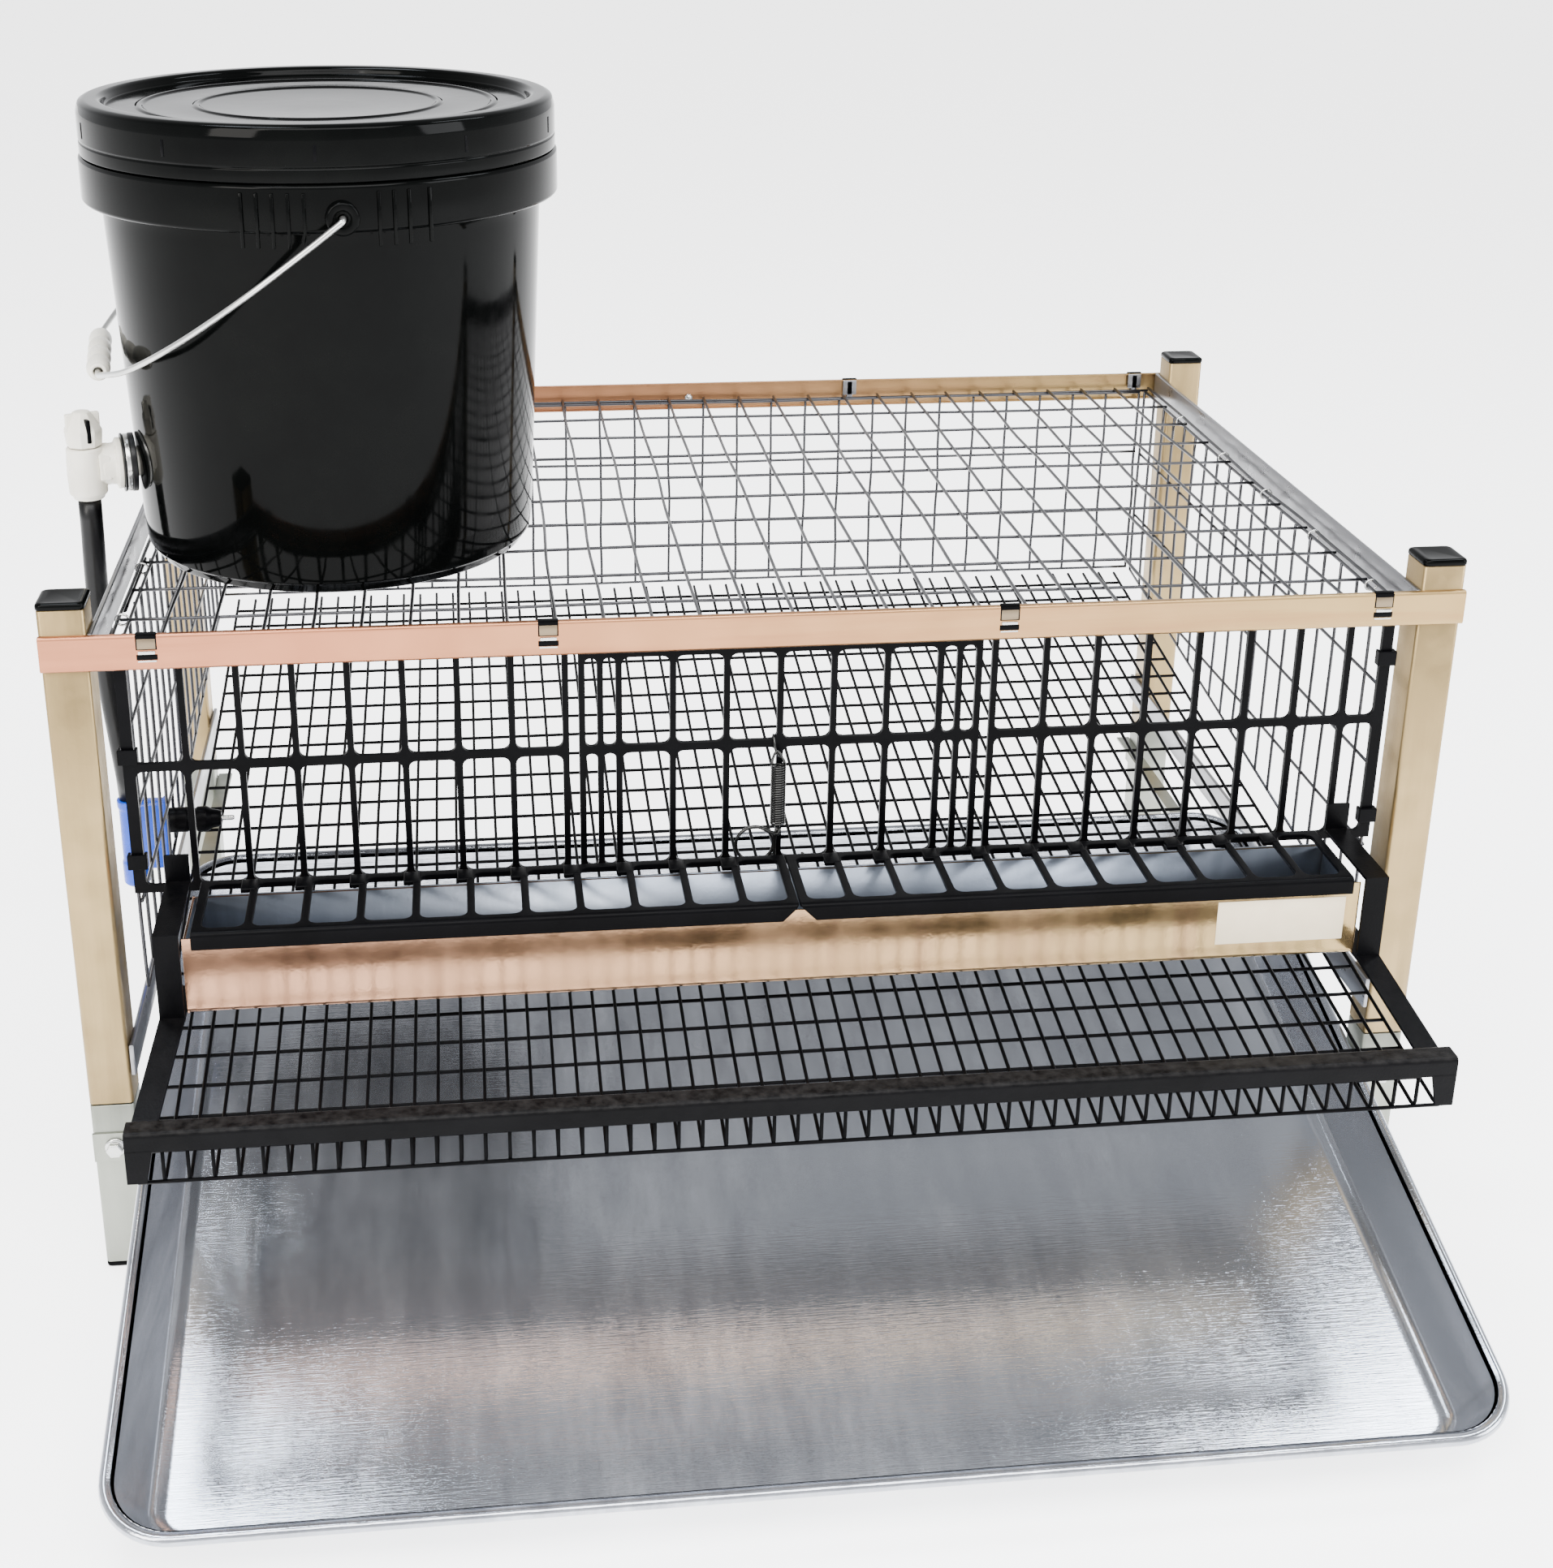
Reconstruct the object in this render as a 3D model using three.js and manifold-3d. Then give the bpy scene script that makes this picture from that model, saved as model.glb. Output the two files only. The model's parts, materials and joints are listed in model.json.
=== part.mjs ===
// A wire quail cage on four legs: barred feeding front, sloping egg floor, droppings pan and bucket drinker.
// Millimetres. +X is to the right, +Y to the rear and +Z up; the feeding side faces -Y.
import * as THREE from "three";
import { mergeVertices } from "three/addons/utils/BufferGeometryUtils.js";
import Module from "manifold-3d";

const wasm = await Module();
wasm.setup();

// ---- Driving dimensions -------------------------------------------------------------------------------
const GAP = 0.3;                      // between pieces that touch
const TUBE = 25.4;                    // corner tube, square
const HALF_WIDTH = 400;               // over the posts
const HALF_DEPTH = 250;
const LEG_TOP = 113.5;
const POST_BOTTOM = 114.5;
const POST_TOP = 422.4;
const POST_X = HALF_WIDTH - TUBE / 2;
const POST_Y = HALF_DEPTH - TUBE / 2;
const RAIL_LOW = 388;                 // top rails, lower and upper edge
const RAIL_HIGH = 408.5;
const RAIL_INNER = 371.5;             // side rails stand between here and the posts' inner faces
const RAIL_OUTER = 374.3;
const FRONT_PLANE = -245;             // middle of the barred front
const BAR = 3.1;                      // bar of the barred front, across and through
const CROSS_BAR = 4.2;
const GRILLE_ROWS = [252, 327, 394];  // heights of the grilles' level bars
const DOOR_ROWS = [252, 327, 385];
const HINGE_Z = 390;
const WIRE = 2.4;
const ROOF_Z = 396.8;
const FLOOR_SLOPE = Math.atan(0.125);
const FLOOR_FRONT = { y: -405, z: 166 };
const TROUGH = { halfWidth: 329, front: -317, rear: -262, bottom: 211.5, frontTop: 258, rearTop: 255 };
const COVER = { halfWidth: 324, seam: 6, front: -319.5, rear: -258, bottom: 258.6, top: 262, windows: 11 };
const PAN = { width: 737, length: 508, depth: 39, sheet: 1, taper: 12, radius: 40, rim: 7, curl: 7.5 };
const PAN_TILT = THREE.MathUtils.degToRad(14.4);
const PAN_REAR = { y: -26.3, z: 162.9 };
const BUCKET = { x: -247, y: -60, base: 399.6 };
const EAR_AZIMUTH = THREE.MathUtils.degToRad(97.2);
const EAR_Z = 620.5;
const BAIL = { halfSpan: 148, depth: 169, straight: 96, wire: 3.5, droop: THREE.MathUtils.degToRad(36.3) };
const VALVE = { azimuth: THREE.MathUtils.degToRad(193.5), reach: 150, z: 457, bottom: 437, top: 469 };
const HOSE_DIAMETER = 13.5;
const DRINKER = { x: -386, y: -97, top: 239.7 };
const NIPPLE = { y: -99, z: 224 };
const LATCH = { x: 2.5, y: -251.8, low: 278, high: 316 };
const OUTLINE_CENTRE = { x: -1.68, y: -132.2 };  // middle of the whole outline, which the drawn pan shifts

// ---- Finishes -----------------------------------------------------------------------------------------
const finish = (color, roughness, metalness) => () =>
  new THREE.MeshStandardMaterial({ color, roughness, metalness });
const galvanised = finish(0xb9b0a2, 0.38, 0.9);
const zincWire = finish(0x7d7c78, 0.45, 0.8);
const blackWire = finish(0x141416, 0.5, 0.1);
const blackPlastic = finish(0x101013, 0.4, 0);
const blackSteel = finish(0x17171a, 0.45, 0.4);
const aluminium = finish(0xc9ccce, 0.32, 1);
const glossBlack = finish(0x08080a, 0.12, 0);
const whitePlastic = finish(0xe9e5da, 0.35, 0);
const brightWire = finish(0xcfcac0, 0.25, 1);
const bluePlastic = finish(0x1c58c4, 0.3, 0);
const blackRubber = finish(0x121214, 0.6, 0);

const cage = new THREE.Group();

function addPiece(name, geometry, material, parent = cage) {
  const mesh = new THREE.Mesh(geometry, material());
  mesh.name = name;
  parent.add(mesh);
  return mesh;
}

// ---- Shapes -------------------------------------------------------------------------------------------
function solid(geometry) {
  const bare = geometry.clone();
  bare.deleteAttribute("normal");
  bare.deleteAttribute("uv");
  const merged = mergeVertices(bare);
  const vertProperties = new Float32Array(merged.attributes.position.array);
  const triVerts = new Uint32Array(merged.index.array);
  return new wasm.Manifold(new wasm.Mesh({ numProp: 3, vertProperties, triVerts }));
}

function geometryOf(manifold) {
  const mesh = manifold.getMesh();
  const geometry = new THREE.BufferGeometry();
  geometry.setAttribute("position", new THREE.BufferAttribute(mesh.vertProperties, 3));
  geometry.setIndex(new THREE.BufferAttribute(mesh.triVerts, 1));
  geometry.computeVertexNormals();
  return geometry;
}

const join = (...shapes) => geometryOf(shapes.map(solid).reduce((sum, next) => sum.add(next)));
const cut = (body, ...tools) => geometryOf(tools.map(solid).reduce((rest, tool) => rest.subtract(tool), solid(body)));

function block([x0, x1], [y0, y1], [z0, z1]) {
  const geometry = new THREE.BoxGeometry(x1 - x0, y1 - y0, z1 - z0);
  return geometry.translate((x0 + x1) / 2, (y0 + y1) / 2, (z0 + z1) / 2);
}

// The same block on the left (side -1) or the right (side +1), given by its distances from the middle.
function sideBlock(side, [near, far], ySpan, zSpan) {
  return block([side * near, side * far].sort((a, b) => a - b), ySpan, zSpan);
}

function outline(Kind, corners) {
  const path = new Kind();
  path.setFromPoints(corners.map(([x, y]) => new THREE.Vector2(x, y)));
  path.closePath();
  return path;
}

function extrude(corners, depth, holes = []) {
  const shape = outline(THREE.Shape, corners);
  shape.holes = holes.map((hole) => outline(THREE.Path, hole));
  return new THREE.ExtrudeGeometry(shape, { depth, bevelEnabled: false });
}

const rectangle = (x0, x1, y0, y1) => [[x0, y0], [x1, y0], [x1, y1], [x0, y1]];

// A square tube standing on z0, with its wall's inner face left open at both ends.
function squareTube(outer, inner, z0, z1) {
  const [o, i] = [outer / 2, inner / 2];
  return extrude(rectangle(-o, o, -o, o), z1 - z0, [rectangle(-i, i, -i, i)]).translate(0, 0, z0);
}

// Bars are [middle, width] pairs; the plate keeps them and opens every cell between them. low(x) lifts the
// rows' lower ends, so that the plate can have a slanted lower edge.
function barGrid(columns, rows, thickness, low = null) {
  const edge = (bar, side) => bar[0] + side * bar[1] / 2;
  const bottom = edge(rows[0], -1);
  const top = edge(rows.at(-1), 1);
  const lift = (x, y) => (low ? y + (low(x) - bottom) * (top - y) / (top - bottom) : y);
  const cell = (x0, x1, y0, y1) => rectangle(x0, x1, y0, y1).map(([x, y]) => [x, lift(x, y)]);
  const plate = extrude(cell(edge(columns[0], -1), edge(columns.at(-1), 1), bottom, top), thickness);
  const openings = [];
  for (let c = 1; c < columns.length; c++) {
    for (let r = 1; r < rows.length; r++) {
      const opening = cell(edge(columns[c - 1], 1), edge(columns[c], -1), edge(rows[r - 1], 1), edge(rows[r], -1));
      openings.push(extrude(opening, thickness + 2).translate(0, 0, -1));
    }
  }
  return cut(plate, ...openings);
}

// Bars of one width, evenly spaced so that the first and last ones' outer edges lie at start and end.
function evenBars(start, end, cells, width) {
  const pitch = (end - start - width) / cells;
  return Array.from({ length: cells + 1 }, (_, k) => [start + width / 2 + k * pitch, width]);
}

// Turns a plate drawn in XY upright: facing the front with its rear face at y, or facing +X from x on.
const faceFront = (plate, y) => plate.rotateX(Math.PI / 2).translate(0, y, 0);
const faceSide = (plate, x) => plate.rotateX(Math.PI / 2).rotateZ(Math.PI / 2).translate(x, 0, 0);

// A round solid about Z; profile is a list of [radius, z] that goes up the outside.
function turned(profile, segments) {
  return new THREE.LatheGeometry(profile.map(([r, z]) => new THREE.Vector2(r, z)), segments).rotateX(Math.PI / 2);
}

const rod = (radius, z0, z1, segments) => turned([[0, z0], [radius, z0], [radius, z1], [0, z1]], segments);

// A sleeve about Z, closed on itself.
function sleeve(inner, outer, z0, z1, segments) {
  return turned([[inner, z0], [outer, z0], [outer, z1], [inner, z1], [inner, z0]], segments);
}

function circle(radius, sides) {
  const corner = (k) => [radius * Math.cos(2 * Math.PI * k / sides), radius * Math.sin(2 * Math.PI * k / sides)];
  return Array.from({ length: sides }, (_, k) => corner(k));
}

// A round wire or tube of the given radius along a smooth curve through the points.
function sweep(points, radius, sides, steps) {
  const extrudePath = new THREE.CatmullRomCurve3(points.map((p) => new THREE.Vector3(...p)), false, "centripetal");
  return new THREE.ExtrudeGeometry(outline(THREE.Shape, circle(radius, sides)), { extrudePath, steps });
}

// ---- Corner posts, legs, caps and feet ----------------------------------------------------------------
const LEG_BORE = 22.2;
const POST_BORE = 23.4;
const SPIGOT = 22.6;
const SCREW_Z = 86;

function corner(place, xSide, ySide) {
  const stand = new THREE.Group();
  stand.position.set(xSide * POST_X, ySide * POST_Y, 0);
  cage.add(stand);
  const legTube = squareTube(TUBE, LEG_BORE, 4, LEG_TOP);
  const spigot = squareTube(SPIGOT, SPIGOT - 3, LEG_TOP - 12, LEG_TOP + 30);
  const screwHole = rod(2.5, 0, 10, 12).rotateX(Math.PI / 2).translate(0, -TUBE / 2 + 5, SCREW_Z);
  const leg = join(legTube, spigot);
  addPiece(`post_${place}`, squareTube(TUBE, POST_BORE, POST_BOTTOM, POST_TOP), galvanised, stand);
  addPiece(`leg_${place}`, ySide < 0 ? cut(leg, screwHole) : leg, galvanised, stand);
  const half = TUBE / 2;
  const plug = 10.5;
  const capPlate = block([-half - 0.5, half + 0.5], [-half - 0.5, half + 0.5], [POST_TOP + GAP, POST_TOP + 4.1]);
  const capPlug = block([-plug, plug], [-plug, plug], [POST_TOP - 14, POST_TOP + 1]);
  addPiece(`cap_${place}`, join(capPlate, capPlug), blackPlastic, stand);
  const footPlate = block([-half, half], [-half, half], [0, 3.7]);
  const footPlug = block([-plug, plug], [-plug, plug], [3, 18]);
  addPiece(`foot_${place}`, join(footPlate, footPlug), blackPlastic, stand);
}

corner("front_left", -1, -1);
corner("front_right", 1, -1);
corner("rear_left", -1, 1);
corner("rear_right", 1, 1);

// ---- Rails and pan runners ----------------------------------------------------------------------------
// Front and rear rails are shallow channels of folded sheet, open towards the posts.
function crossRail(name, ySide) {
  const near = HALF_DEPTH + GAP;
  const far = near + 3.6;
  const sheet = 1.2;
  const span = (a, b) => [ySide * a, ySide * b].sort((p, q) => p - q);
  const bar = block([-HALF_WIDTH, HALF_WIDTH], span(near, far), [RAIL_LOW, RAIL_HIGH]);
  const hollow = block([-HALF_WIDTH - 1, HALF_WIDTH + 1], span(near - 1, far - sheet), [RAIL_LOW + sheet, RAIL_HIGH - sheet]);
  addPiece(name, cut(bar, hollow), galvanised);
}

crossRail("rail_front", -1);
crossRail("rail_rear", 1);

const RUNNER_TOP = 96;
const RUNNER_LOW = 76;

for (const [place, side] of [["left", -1], ["right", 1]]) {
  const fullDepth = [-HALF_DEPTH, HALF_DEPTH];
  addPiece(`rail_${place}`, sideBlock(side, [RAIL_INNER, RAIL_OUTER], fullDepth, [RAIL_LOW, RAIL_HIGH]), galvanised);
  addPiece(`lower_rail_${place}`, sideBlock(side, [RAIL_INNER, RAIL_OUTER], fullDepth, [133, 153]), galvanised);

  // The runner is an angle whose front end is folded outwards over the leg and screwed to it.
  const tabFront = -HALF_DEPTH - 1.8;
  const angle = [
    [372.8, RUNNER_LOW], [RAIL_OUTER, RUNNER_LOW], [RAIL_OUTER, RUNNER_TOP],
    [364, RUNNER_TOP], [364, RUNNER_TOP - 1.5], [372.8, RUNNER_TOP - 1.5],
  ].map(([x, z]) => [side * x, z]);
  const angleBar = faceFront(extrude(side > 0 ? angle : angle.reverse(), HALF_DEPTH - tabFront), HALF_DEPTH);
  const tabFace = [tabFront, -HALF_DEPTH - GAP];
  const tab = sideBlock(side, [373.5, HALF_WIDTH], tabFace, [RUNNER_LOW + 0.5, RUNNER_TOP - 0.5]);
  const hole = rod(2.5, 0, 6, 12).rotateX(Math.PI / 2).translate(side * POST_X, tabFront + 4, SCREW_Z);
  addPiece(`runner_${place}`, cut(join(angleBar, tab), hole), galvanised);

  const head = rod(4.6, 0, 4, 6);
  const washer = rod(6, -1, 0.5, 16);
  const shank = rod(2, -12, 0, 8);
  const screw = join(head, washer, shank).rotateX(Math.PI / 2);
  addPiece(`runner_screw_${place}`, screw.translate(side * POST_X, tabFront - 1 - GAP, SCREW_Z), brightWire);
}

// ---- Wire box -----------------------------------------------------------------------------------------
const STRAND = 3.5;                   // width of a lattice strand

function floorHeight(y) {
  return FLOOR_FRONT.z + Math.tan(FLOOR_SLOPE) * (y - FLOOR_FRONT.y);
}

const roof = barGrid(evenBars(-366, 366, 10, STRAND), evenBars(-246, 246, 7, STRAND), WIRE);
addPiece("roof_panel", roof.translate(0, 0, ROOF_Z), zincWire);

const rear = barGrid(evenBars(-359, 359, 10, STRAND), evenBars(249.5, ROOF_Z - 0.4, 2, STRAND), WIRE);
addPiece("rear_panel", faceFront(rear, 246.2), zincWire);

for (const [place, x] of [["left", -362.2], ["right", 362.2 - WIRE]]) {
  const columns = evenBars(-243, 243, 6, STRAND);
  const rows = evenBars(186, ROOF_Z - 0.4, 3, STRAND);
  const lowEdge = (y) => floorHeight(y) - 0.3;
  addPiece(`side_panel_${place}`, faceSide(barGrid(columns, rows, WIRE, lowEdge), x), zincWire);
}

const FLOOR_HALF_WIDTH = 348;
const floorLength = (240 - FLOOR_FRONT.y) / Math.cos(FLOOR_SLOPE);
const floorGrid = barGrid(
  evenBars(-FLOOR_HALF_WIDTH, FLOOR_HALF_WIDTH, 10, STRAND), evenBars(3.2, floorLength, 9, STRAND), WIRE);
const floor = addPiece("floor_panel", floorGrid.translate(0, 0, -WIRE / 2), blackWire);
floor.position.set(0, FLOOR_FRONT.y, FLOOR_FRONT.z);
floor.rotation.x = FLOOR_SLOPE;

// The floor's front edge turned up into the egg tray channel.
const lip = barGrid(evenBars(-FLOOR_HALF_WIDTH, FLOOR_HALF_WIDTH, 10, STRAND), evenBars(165, 197, 1, STRAND), WIRE);
addPiece("floor_lip", faceFront(lip, FLOOR_FRONT.y + WIRE / 2), blackWire);

// ---- Egg tray channel and the side brackets -----------------------------------------------------------
const CHANNEL = { halfWidth: 352, front: -413, rear: -399, bottom: 189, top: 200, sheet: 1.5 };

function channelEar(side) {
  const corners = [[338, 190], [352, 190], [352, 170.5], [342, 170.5]].map(([x, z]) => [side * x, z]);
  return faceFront(extrude(side > 0 ? corners : corners.reverse(), CHANNEL.sheet), CHANNEL.front + CHANNEL.sheet);
}

const channelSpan = [-CHANNEL.halfWidth, CHANNEL.halfWidth];
const channel = cut(
  block(channelSpan, [CHANNEL.front, CHANNEL.rear], [CHANNEL.bottom, CHANNEL.top]),
  block([-CHANNEL.halfWidth - 1, CHANNEL.halfWidth + 1],
    [CHANNEL.front + CHANNEL.sheet, CHANNEL.rear - CHANNEL.sheet], [CHANNEL.bottom - 1, CHANNEL.top - CHANNEL.sheet]));
addPiece("tray_channel", join(channel, channelEar(-1), channelEar(1)), blackSteel);

// The ledge under the trough steps back behind the trough's front face.
function bracketLedge(side) {
  const corners = [[318, -311], [330, -311], [330, -321], [343.5, -321], [343.5, -285], [318, -285]]
    .map(([x, y]) => [side * x, y]);
  return extrude(side > 0 ? corners : corners.reverse(), 2);
}

// One folded strip: a tab up the front, a plate over the trough's end, a drop in front of it, a ledge
// under the trough, and an arm that slants outwards and down to the channel.
for (const [place, side] of [["left", -1], ["right", 1]]) {
  const strip = [330, 343.5];
  const thick = 2;
  const armTop = 212;
  const armRun = -CHANNEL.rear - 320 - GAP;
  const drift = 8.5 / armRun;
  const fall = 21.5 / armRun;
  const shear = new THREE.Matrix4().set(
    1, -side * drift, 0, 0,
    0, 1, 0, 0,
    0, fall, 1, 0,
    0, 0, 0, 1);
  const arm = sideBlock(side, strip, [-armRun, 0], [-thick, 0]).applyMatrix4(shear).translate(0, -320, armTop);
  addPiece(`bracket_${place}`, join(
    sideBlock(side, strip, [-258, -256], [260, 278]),
    sideBlock(side, strip, [-321, -256], [260, 262]),
    sideBlock(side, strip, [-321, -319], [armTop - thick - 0.5, 262]),
    bracketLedge(side).translate(0, 0, 209.2),
    arm), blackSteel);
}

// ---- Feed trough and its covers -----------------------------------------------------------------------
const sheet = 1.2;
const troughSpan = [-TROUGH.halfWidth, TROUGH.halfWidth];
addPiece("feed_trough", cut(
  block(troughSpan, [TROUGH.front, TROUGH.rear], [TROUGH.bottom, TROUGH.frontTop]),
  block([-TROUGH.halfWidth + sheet, TROUGH.halfWidth - sheet],
    [TROUGH.front + sheet, TROUGH.rear - sheet], [TROUGH.bottom + sheet, TROUGH.frontTop + 1]),
  block([-TROUGH.halfWidth - 1, TROUGH.halfWidth + 1],
    [TROUGH.rear - sheet - 1, TROUGH.rear + 1], [TROUGH.rearTop, TROUGH.frontTop + 1])), galvanised);

function troughCover(name, x0, x1) {
  const rib = 5;
  const plate = barGrid(
    evenBars(x0, x1, COVER.windows, rib), evenBars(COVER.front, COVER.rear, 1, rib), COVER.top - COVER.bottom);
  const frontLip = block([x0, x1], [COVER.front, COVER.front + 2.1], [251, COVER.top - 1]);
  addPiece(name, join(plate.translate(0, 0, COVER.bottom), frontLip), blackPlastic);
}

troughCover("cover_left", -COVER.halfWidth, COVER.seam - GAP);
troughCover("cover_right", COVER.seam + GAP, COVER.halfWidth);

// ---- Barred front, door and latch ---------------------------------------------------------------------
const PITCH = 30;
const END_BAR = [359.5, 6.5];
const bars = (start, step, count) => Array.from({ length: count }, (_, k) => [start + k * step, BAR]);
const levels = (heights) => heights.map((z) => [z, CROSS_BAR]);
const frontFace = (plate) => faceFront(plate, FRONT_PLANE + BAR / 2);

const leftColumns = [[-END_BAR[0], END_BAR[1]], ...bars(-118 - 7 * PITCH, PITCH, 8)];
const rightColumns = [...bars(127, PITCH, 8), END_BAR];
addPiece("grille_left", frontFace(barGrid(leftColumns, levels(GRILLE_ROWS), BAR)), blackPlastic);
addPiece("grille_right", frontFace(barGrid(rightColumns, levels(GRILLE_ROWS), BAR)), blackPlastic);

const hingeRod = rod(1.5, -116, 125, 12).rotateY(Math.PI / 2);
addPiece("door_rod", hingeRod.translate(0, FRONT_PLANE, HINGE_Z), brightWire);

// A hook is three quarters of a ring round the hinge rod, open towards the rear.
function doorHook(x) {
  const shape = new THREE.Shape();
  shape.absarc(0, 0, 4.4, -0.5 * Math.PI, 0.9 * Math.PI, false);
  shape.absarc(0, 0, 1.9, 0.9 * Math.PI, -0.5 * Math.PI, true);
  shape.closePath();
  const ring = new THREE.ExtrudeGeometry(shape, { depth: 8, bevelEnabled: false, curveSegments: 10 });
  return ring.rotateX(Math.PI / 2).rotateZ(-Math.PI / 2).translate(x - 4, FRONT_PLANE, HINGE_Z);
}

const doorColumns = [[-109, BAR], [-98.5, BAR], ...bars(-88, 30.6, 7), [106.6, BAR], [118, BAR]];
const doorGrid = frontFace(barGrid(doorColumns, levels(DOOR_ROWS), BAR));
addPiece("front_door", join(doorGrid, ...[-94, -6, 10.5, 99.5].map(doorHook)), blackPlastic);

// The spring's close coil, with its wire led up and over the door's middle bar.
const coil = rod(4.5, LATCH.low, LATCH.high, 14).translate(LATCH.x, LATCH.y, 0);
const springHook = sweep([
  [2.5, -251.8, 313], [1.6, -250.6, 320], [0.4, -248.7, 325.5], [0.4, -248, 329.5],
  [0.4, -245.2, 331.5], [0.4, -242.2, 329.8], [0.4, -241.5, 325.5],
], 1, 6, 14);
addPiece("latch_spring", join(coil, springHook), brightWire);

const RING = { x: -10.6, z: 266, radius: 11, wire: 1.1 };
const ringSection = circle(RING.wire, 8).map(([x, y]) => [x + RING.radius, y]);
const fingerRing = turned([...ringSection, ringSection[0]], 22).rotateX(Math.PI / 2);
const latchLeg = sweep([
  [3, -251.8, 276.6], [1.4, -251.8, 273], [0.6, -251.9, 265], [1.6, -252.5, 257.5], [6, -253.6, 255],
  [12, -254.8, 255.4], [16.2, -255.4, 257.6], [17, -255.6, 261],
], RING.wire, 6, 18);
addPiece("latch_ring", join(fingerRing.translate(RING.x, LATCH.y, RING.z), latchLeg), brightWire);

// C-clips over the end bars, open to the rear.
function endClip(name, side, z) {
  const outer = sideBlock(side, [354, 365], [-249.2, -243.4], [z - 4.5, z + 4.5]);
  const slot = sideBlock(side, [355.8, 363.2], [-247.1, -240], [z - 6, z + 6]);
  addPiece(name, cut(outer, slot), blackPlastic);
}

endClip("clip_left_upper", -1, 334.5);
endClip("clip_left_lower", -1, 270);
endClip("clip_right_upper", 1, 366);
endClip("clip_right_lower", 1, 265);

// ---- Droppings pan ------------------------------------------------------------------------------------
function roundedRectangle(halfWidth, halfLength, radius, arcSteps = 6) {
  const corners = [[1, 1, 0], [-1, 1, 1], [-1, -1, 2], [1, -1, 3]];
  return corners.flatMap(([sx, sy, quarter]) => Array.from({ length: arcSteps + 1 }, (_, k) => {
    const angle = (quarter + k / arcSteps) * Math.PI / 2;
    const cx = sx * (halfWidth - radius);
    const cy = sy * (halfLength - radius);
    return [cx + radius * Math.cos(angle), cy + radius * Math.sin(angle)];
  }));
}

// A block with rounded corners whose lower outline is inset on every side; its top lies at z = 0.
function taperedBlock(halfWidth, halfLength, radius, height, inset) {
  const geometry = extrude(roundedRectangle(halfWidth, halfLength, radius), height).translate(0, 0, -height);
  const position = geometry.attributes.position;
  for (let i = 0; i < position.count; i++) {
    const shift = -position.getZ(i) / height * inset;
    position.setX(i, position.getX(i) - Math.sign(position.getX(i)) * shift);
    position.setY(i, position.getY(i) - Math.sign(position.getY(i)) * shift);
  }
  return geometry;
}

// Drawn level with the rim's top at z = 0 and the rear rim at y = 0, then tilted.
const halfPan = { x: PAN.width / 2, y: PAN.length / 2 };
const tray = taperedBlock(halfPan.x - PAN.rim, halfPan.y - PAN.rim, PAN.radius - PAN.rim, PAN.depth, PAN.taper);
const inset = PAN.rim + PAN.sheet;
const slopePerMm = PAN.taper / PAN.depth;
const insideHeight = PAN.depth - PAN.sheet + 1;
const trayInside = taperedBlock(
  halfPan.x - inset + slopePerMm, halfPan.y - inset + slopePerMm, PAN.radius - inset, insideHeight,
  slopePerMm * insideHeight).translate(0, 0, 1);
const rimBand = extrude(roundedRectangle(halfPan.x, halfPan.y, PAN.radius), PAN.curl).translate(0, 0, -PAN.curl);
const rimInside = extrude(
  roundedRectangle(halfPan.x - 1.5, halfPan.y - 1.5, PAN.radius - 1.5), PAN.curl).translate(0, 0, -PAN.curl - 1.5);
const trayBody = join(cut(rimBand, rimInside), tray);
const pan = addPiece("droppings_pan", cut(trayBody, trayInside).translate(0, -halfPan.y, 0), aluminium);
pan.position.set(0, PAN_REAR.y, PAN_REAR.z);
pan.rotation.x = PAN_TILT;

// ---- Bucket, lid and bail -----------------------------------------------------------------------------
const ROUND = 36;
const bucketStand = new THREE.Group();
bucketStand.position.set(BUCKET.x, BUCKET.y, 0);
cage.add(bucketStand);

// A round bar that points out of the bucket's axis at an azimuth, from one radius to another.
function spoke(azimuth, z, radius, from, to, segments) {
  return rod(radius, from, to, segments).rotateY(Math.PI / 2).rotateZ(azimuth).translate(0, 0, z);
}

// The bucket's bottom is a disc of its own inside the foot of the wall.
const BOTTOM = { radius: 110, top: 402.5 };
const bucketBottom = [[0, BUCKET.base], [BOTTOM.radius, BUCKET.base], [BOTTOM.radius, BOTTOM.top], [0, BOTTOM.top]];
addPiece("bucket_bottom", turned(bucketBottom, ROUND), glossBlack, bucketStand);
const wallFoot = BOTTOM.radius + 0.3;
const bucketBody = turned([
  [wallFoot, BUCKET.base], [114, 402.5], [118, 412], [127, 605], [127.5, 612], [138, 612], [138, 638],
  [132, 638], [132, 655], [129.5, 655], [124.5, 605], [115.5, 413], [wallFoot, BOTTOM.top], [wallFoot, BUCKET.base],
], ROUND);
const ears = [EAR_AZIMUTH, EAR_AZIMUTH + Math.PI].map((azimuth) => spoke(azimuth, EAR_Z, 9, 133, 143, 16));
const earHoles = [EAR_AZIMUTH, EAR_AZIMUTH + Math.PI].map((azimuth) => spoke(azimuth, EAR_Z, 2.3, 139, 150, 12));
const outlet = spoke(VALVE.azimuth, VALVE.z, 9.6, 100, 130, 16);
addPiece("bucket", cut(join(bucketBody, ...ears), ...earHoles, outlet), glossBlack, bucketStand);

addPiece("bucket_lid", turned([
  [0, 659], [134.6, 659], [134.6, 638.6], [137, 638.6], [137, 664], [134, 669],
  [122, 669], [121, 663.5], [96, 663.5], [95, 665], [70, 665], [69, 663.5], [0, 663.5],
], ROUND), glossBlack, bucketStand);

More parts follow.
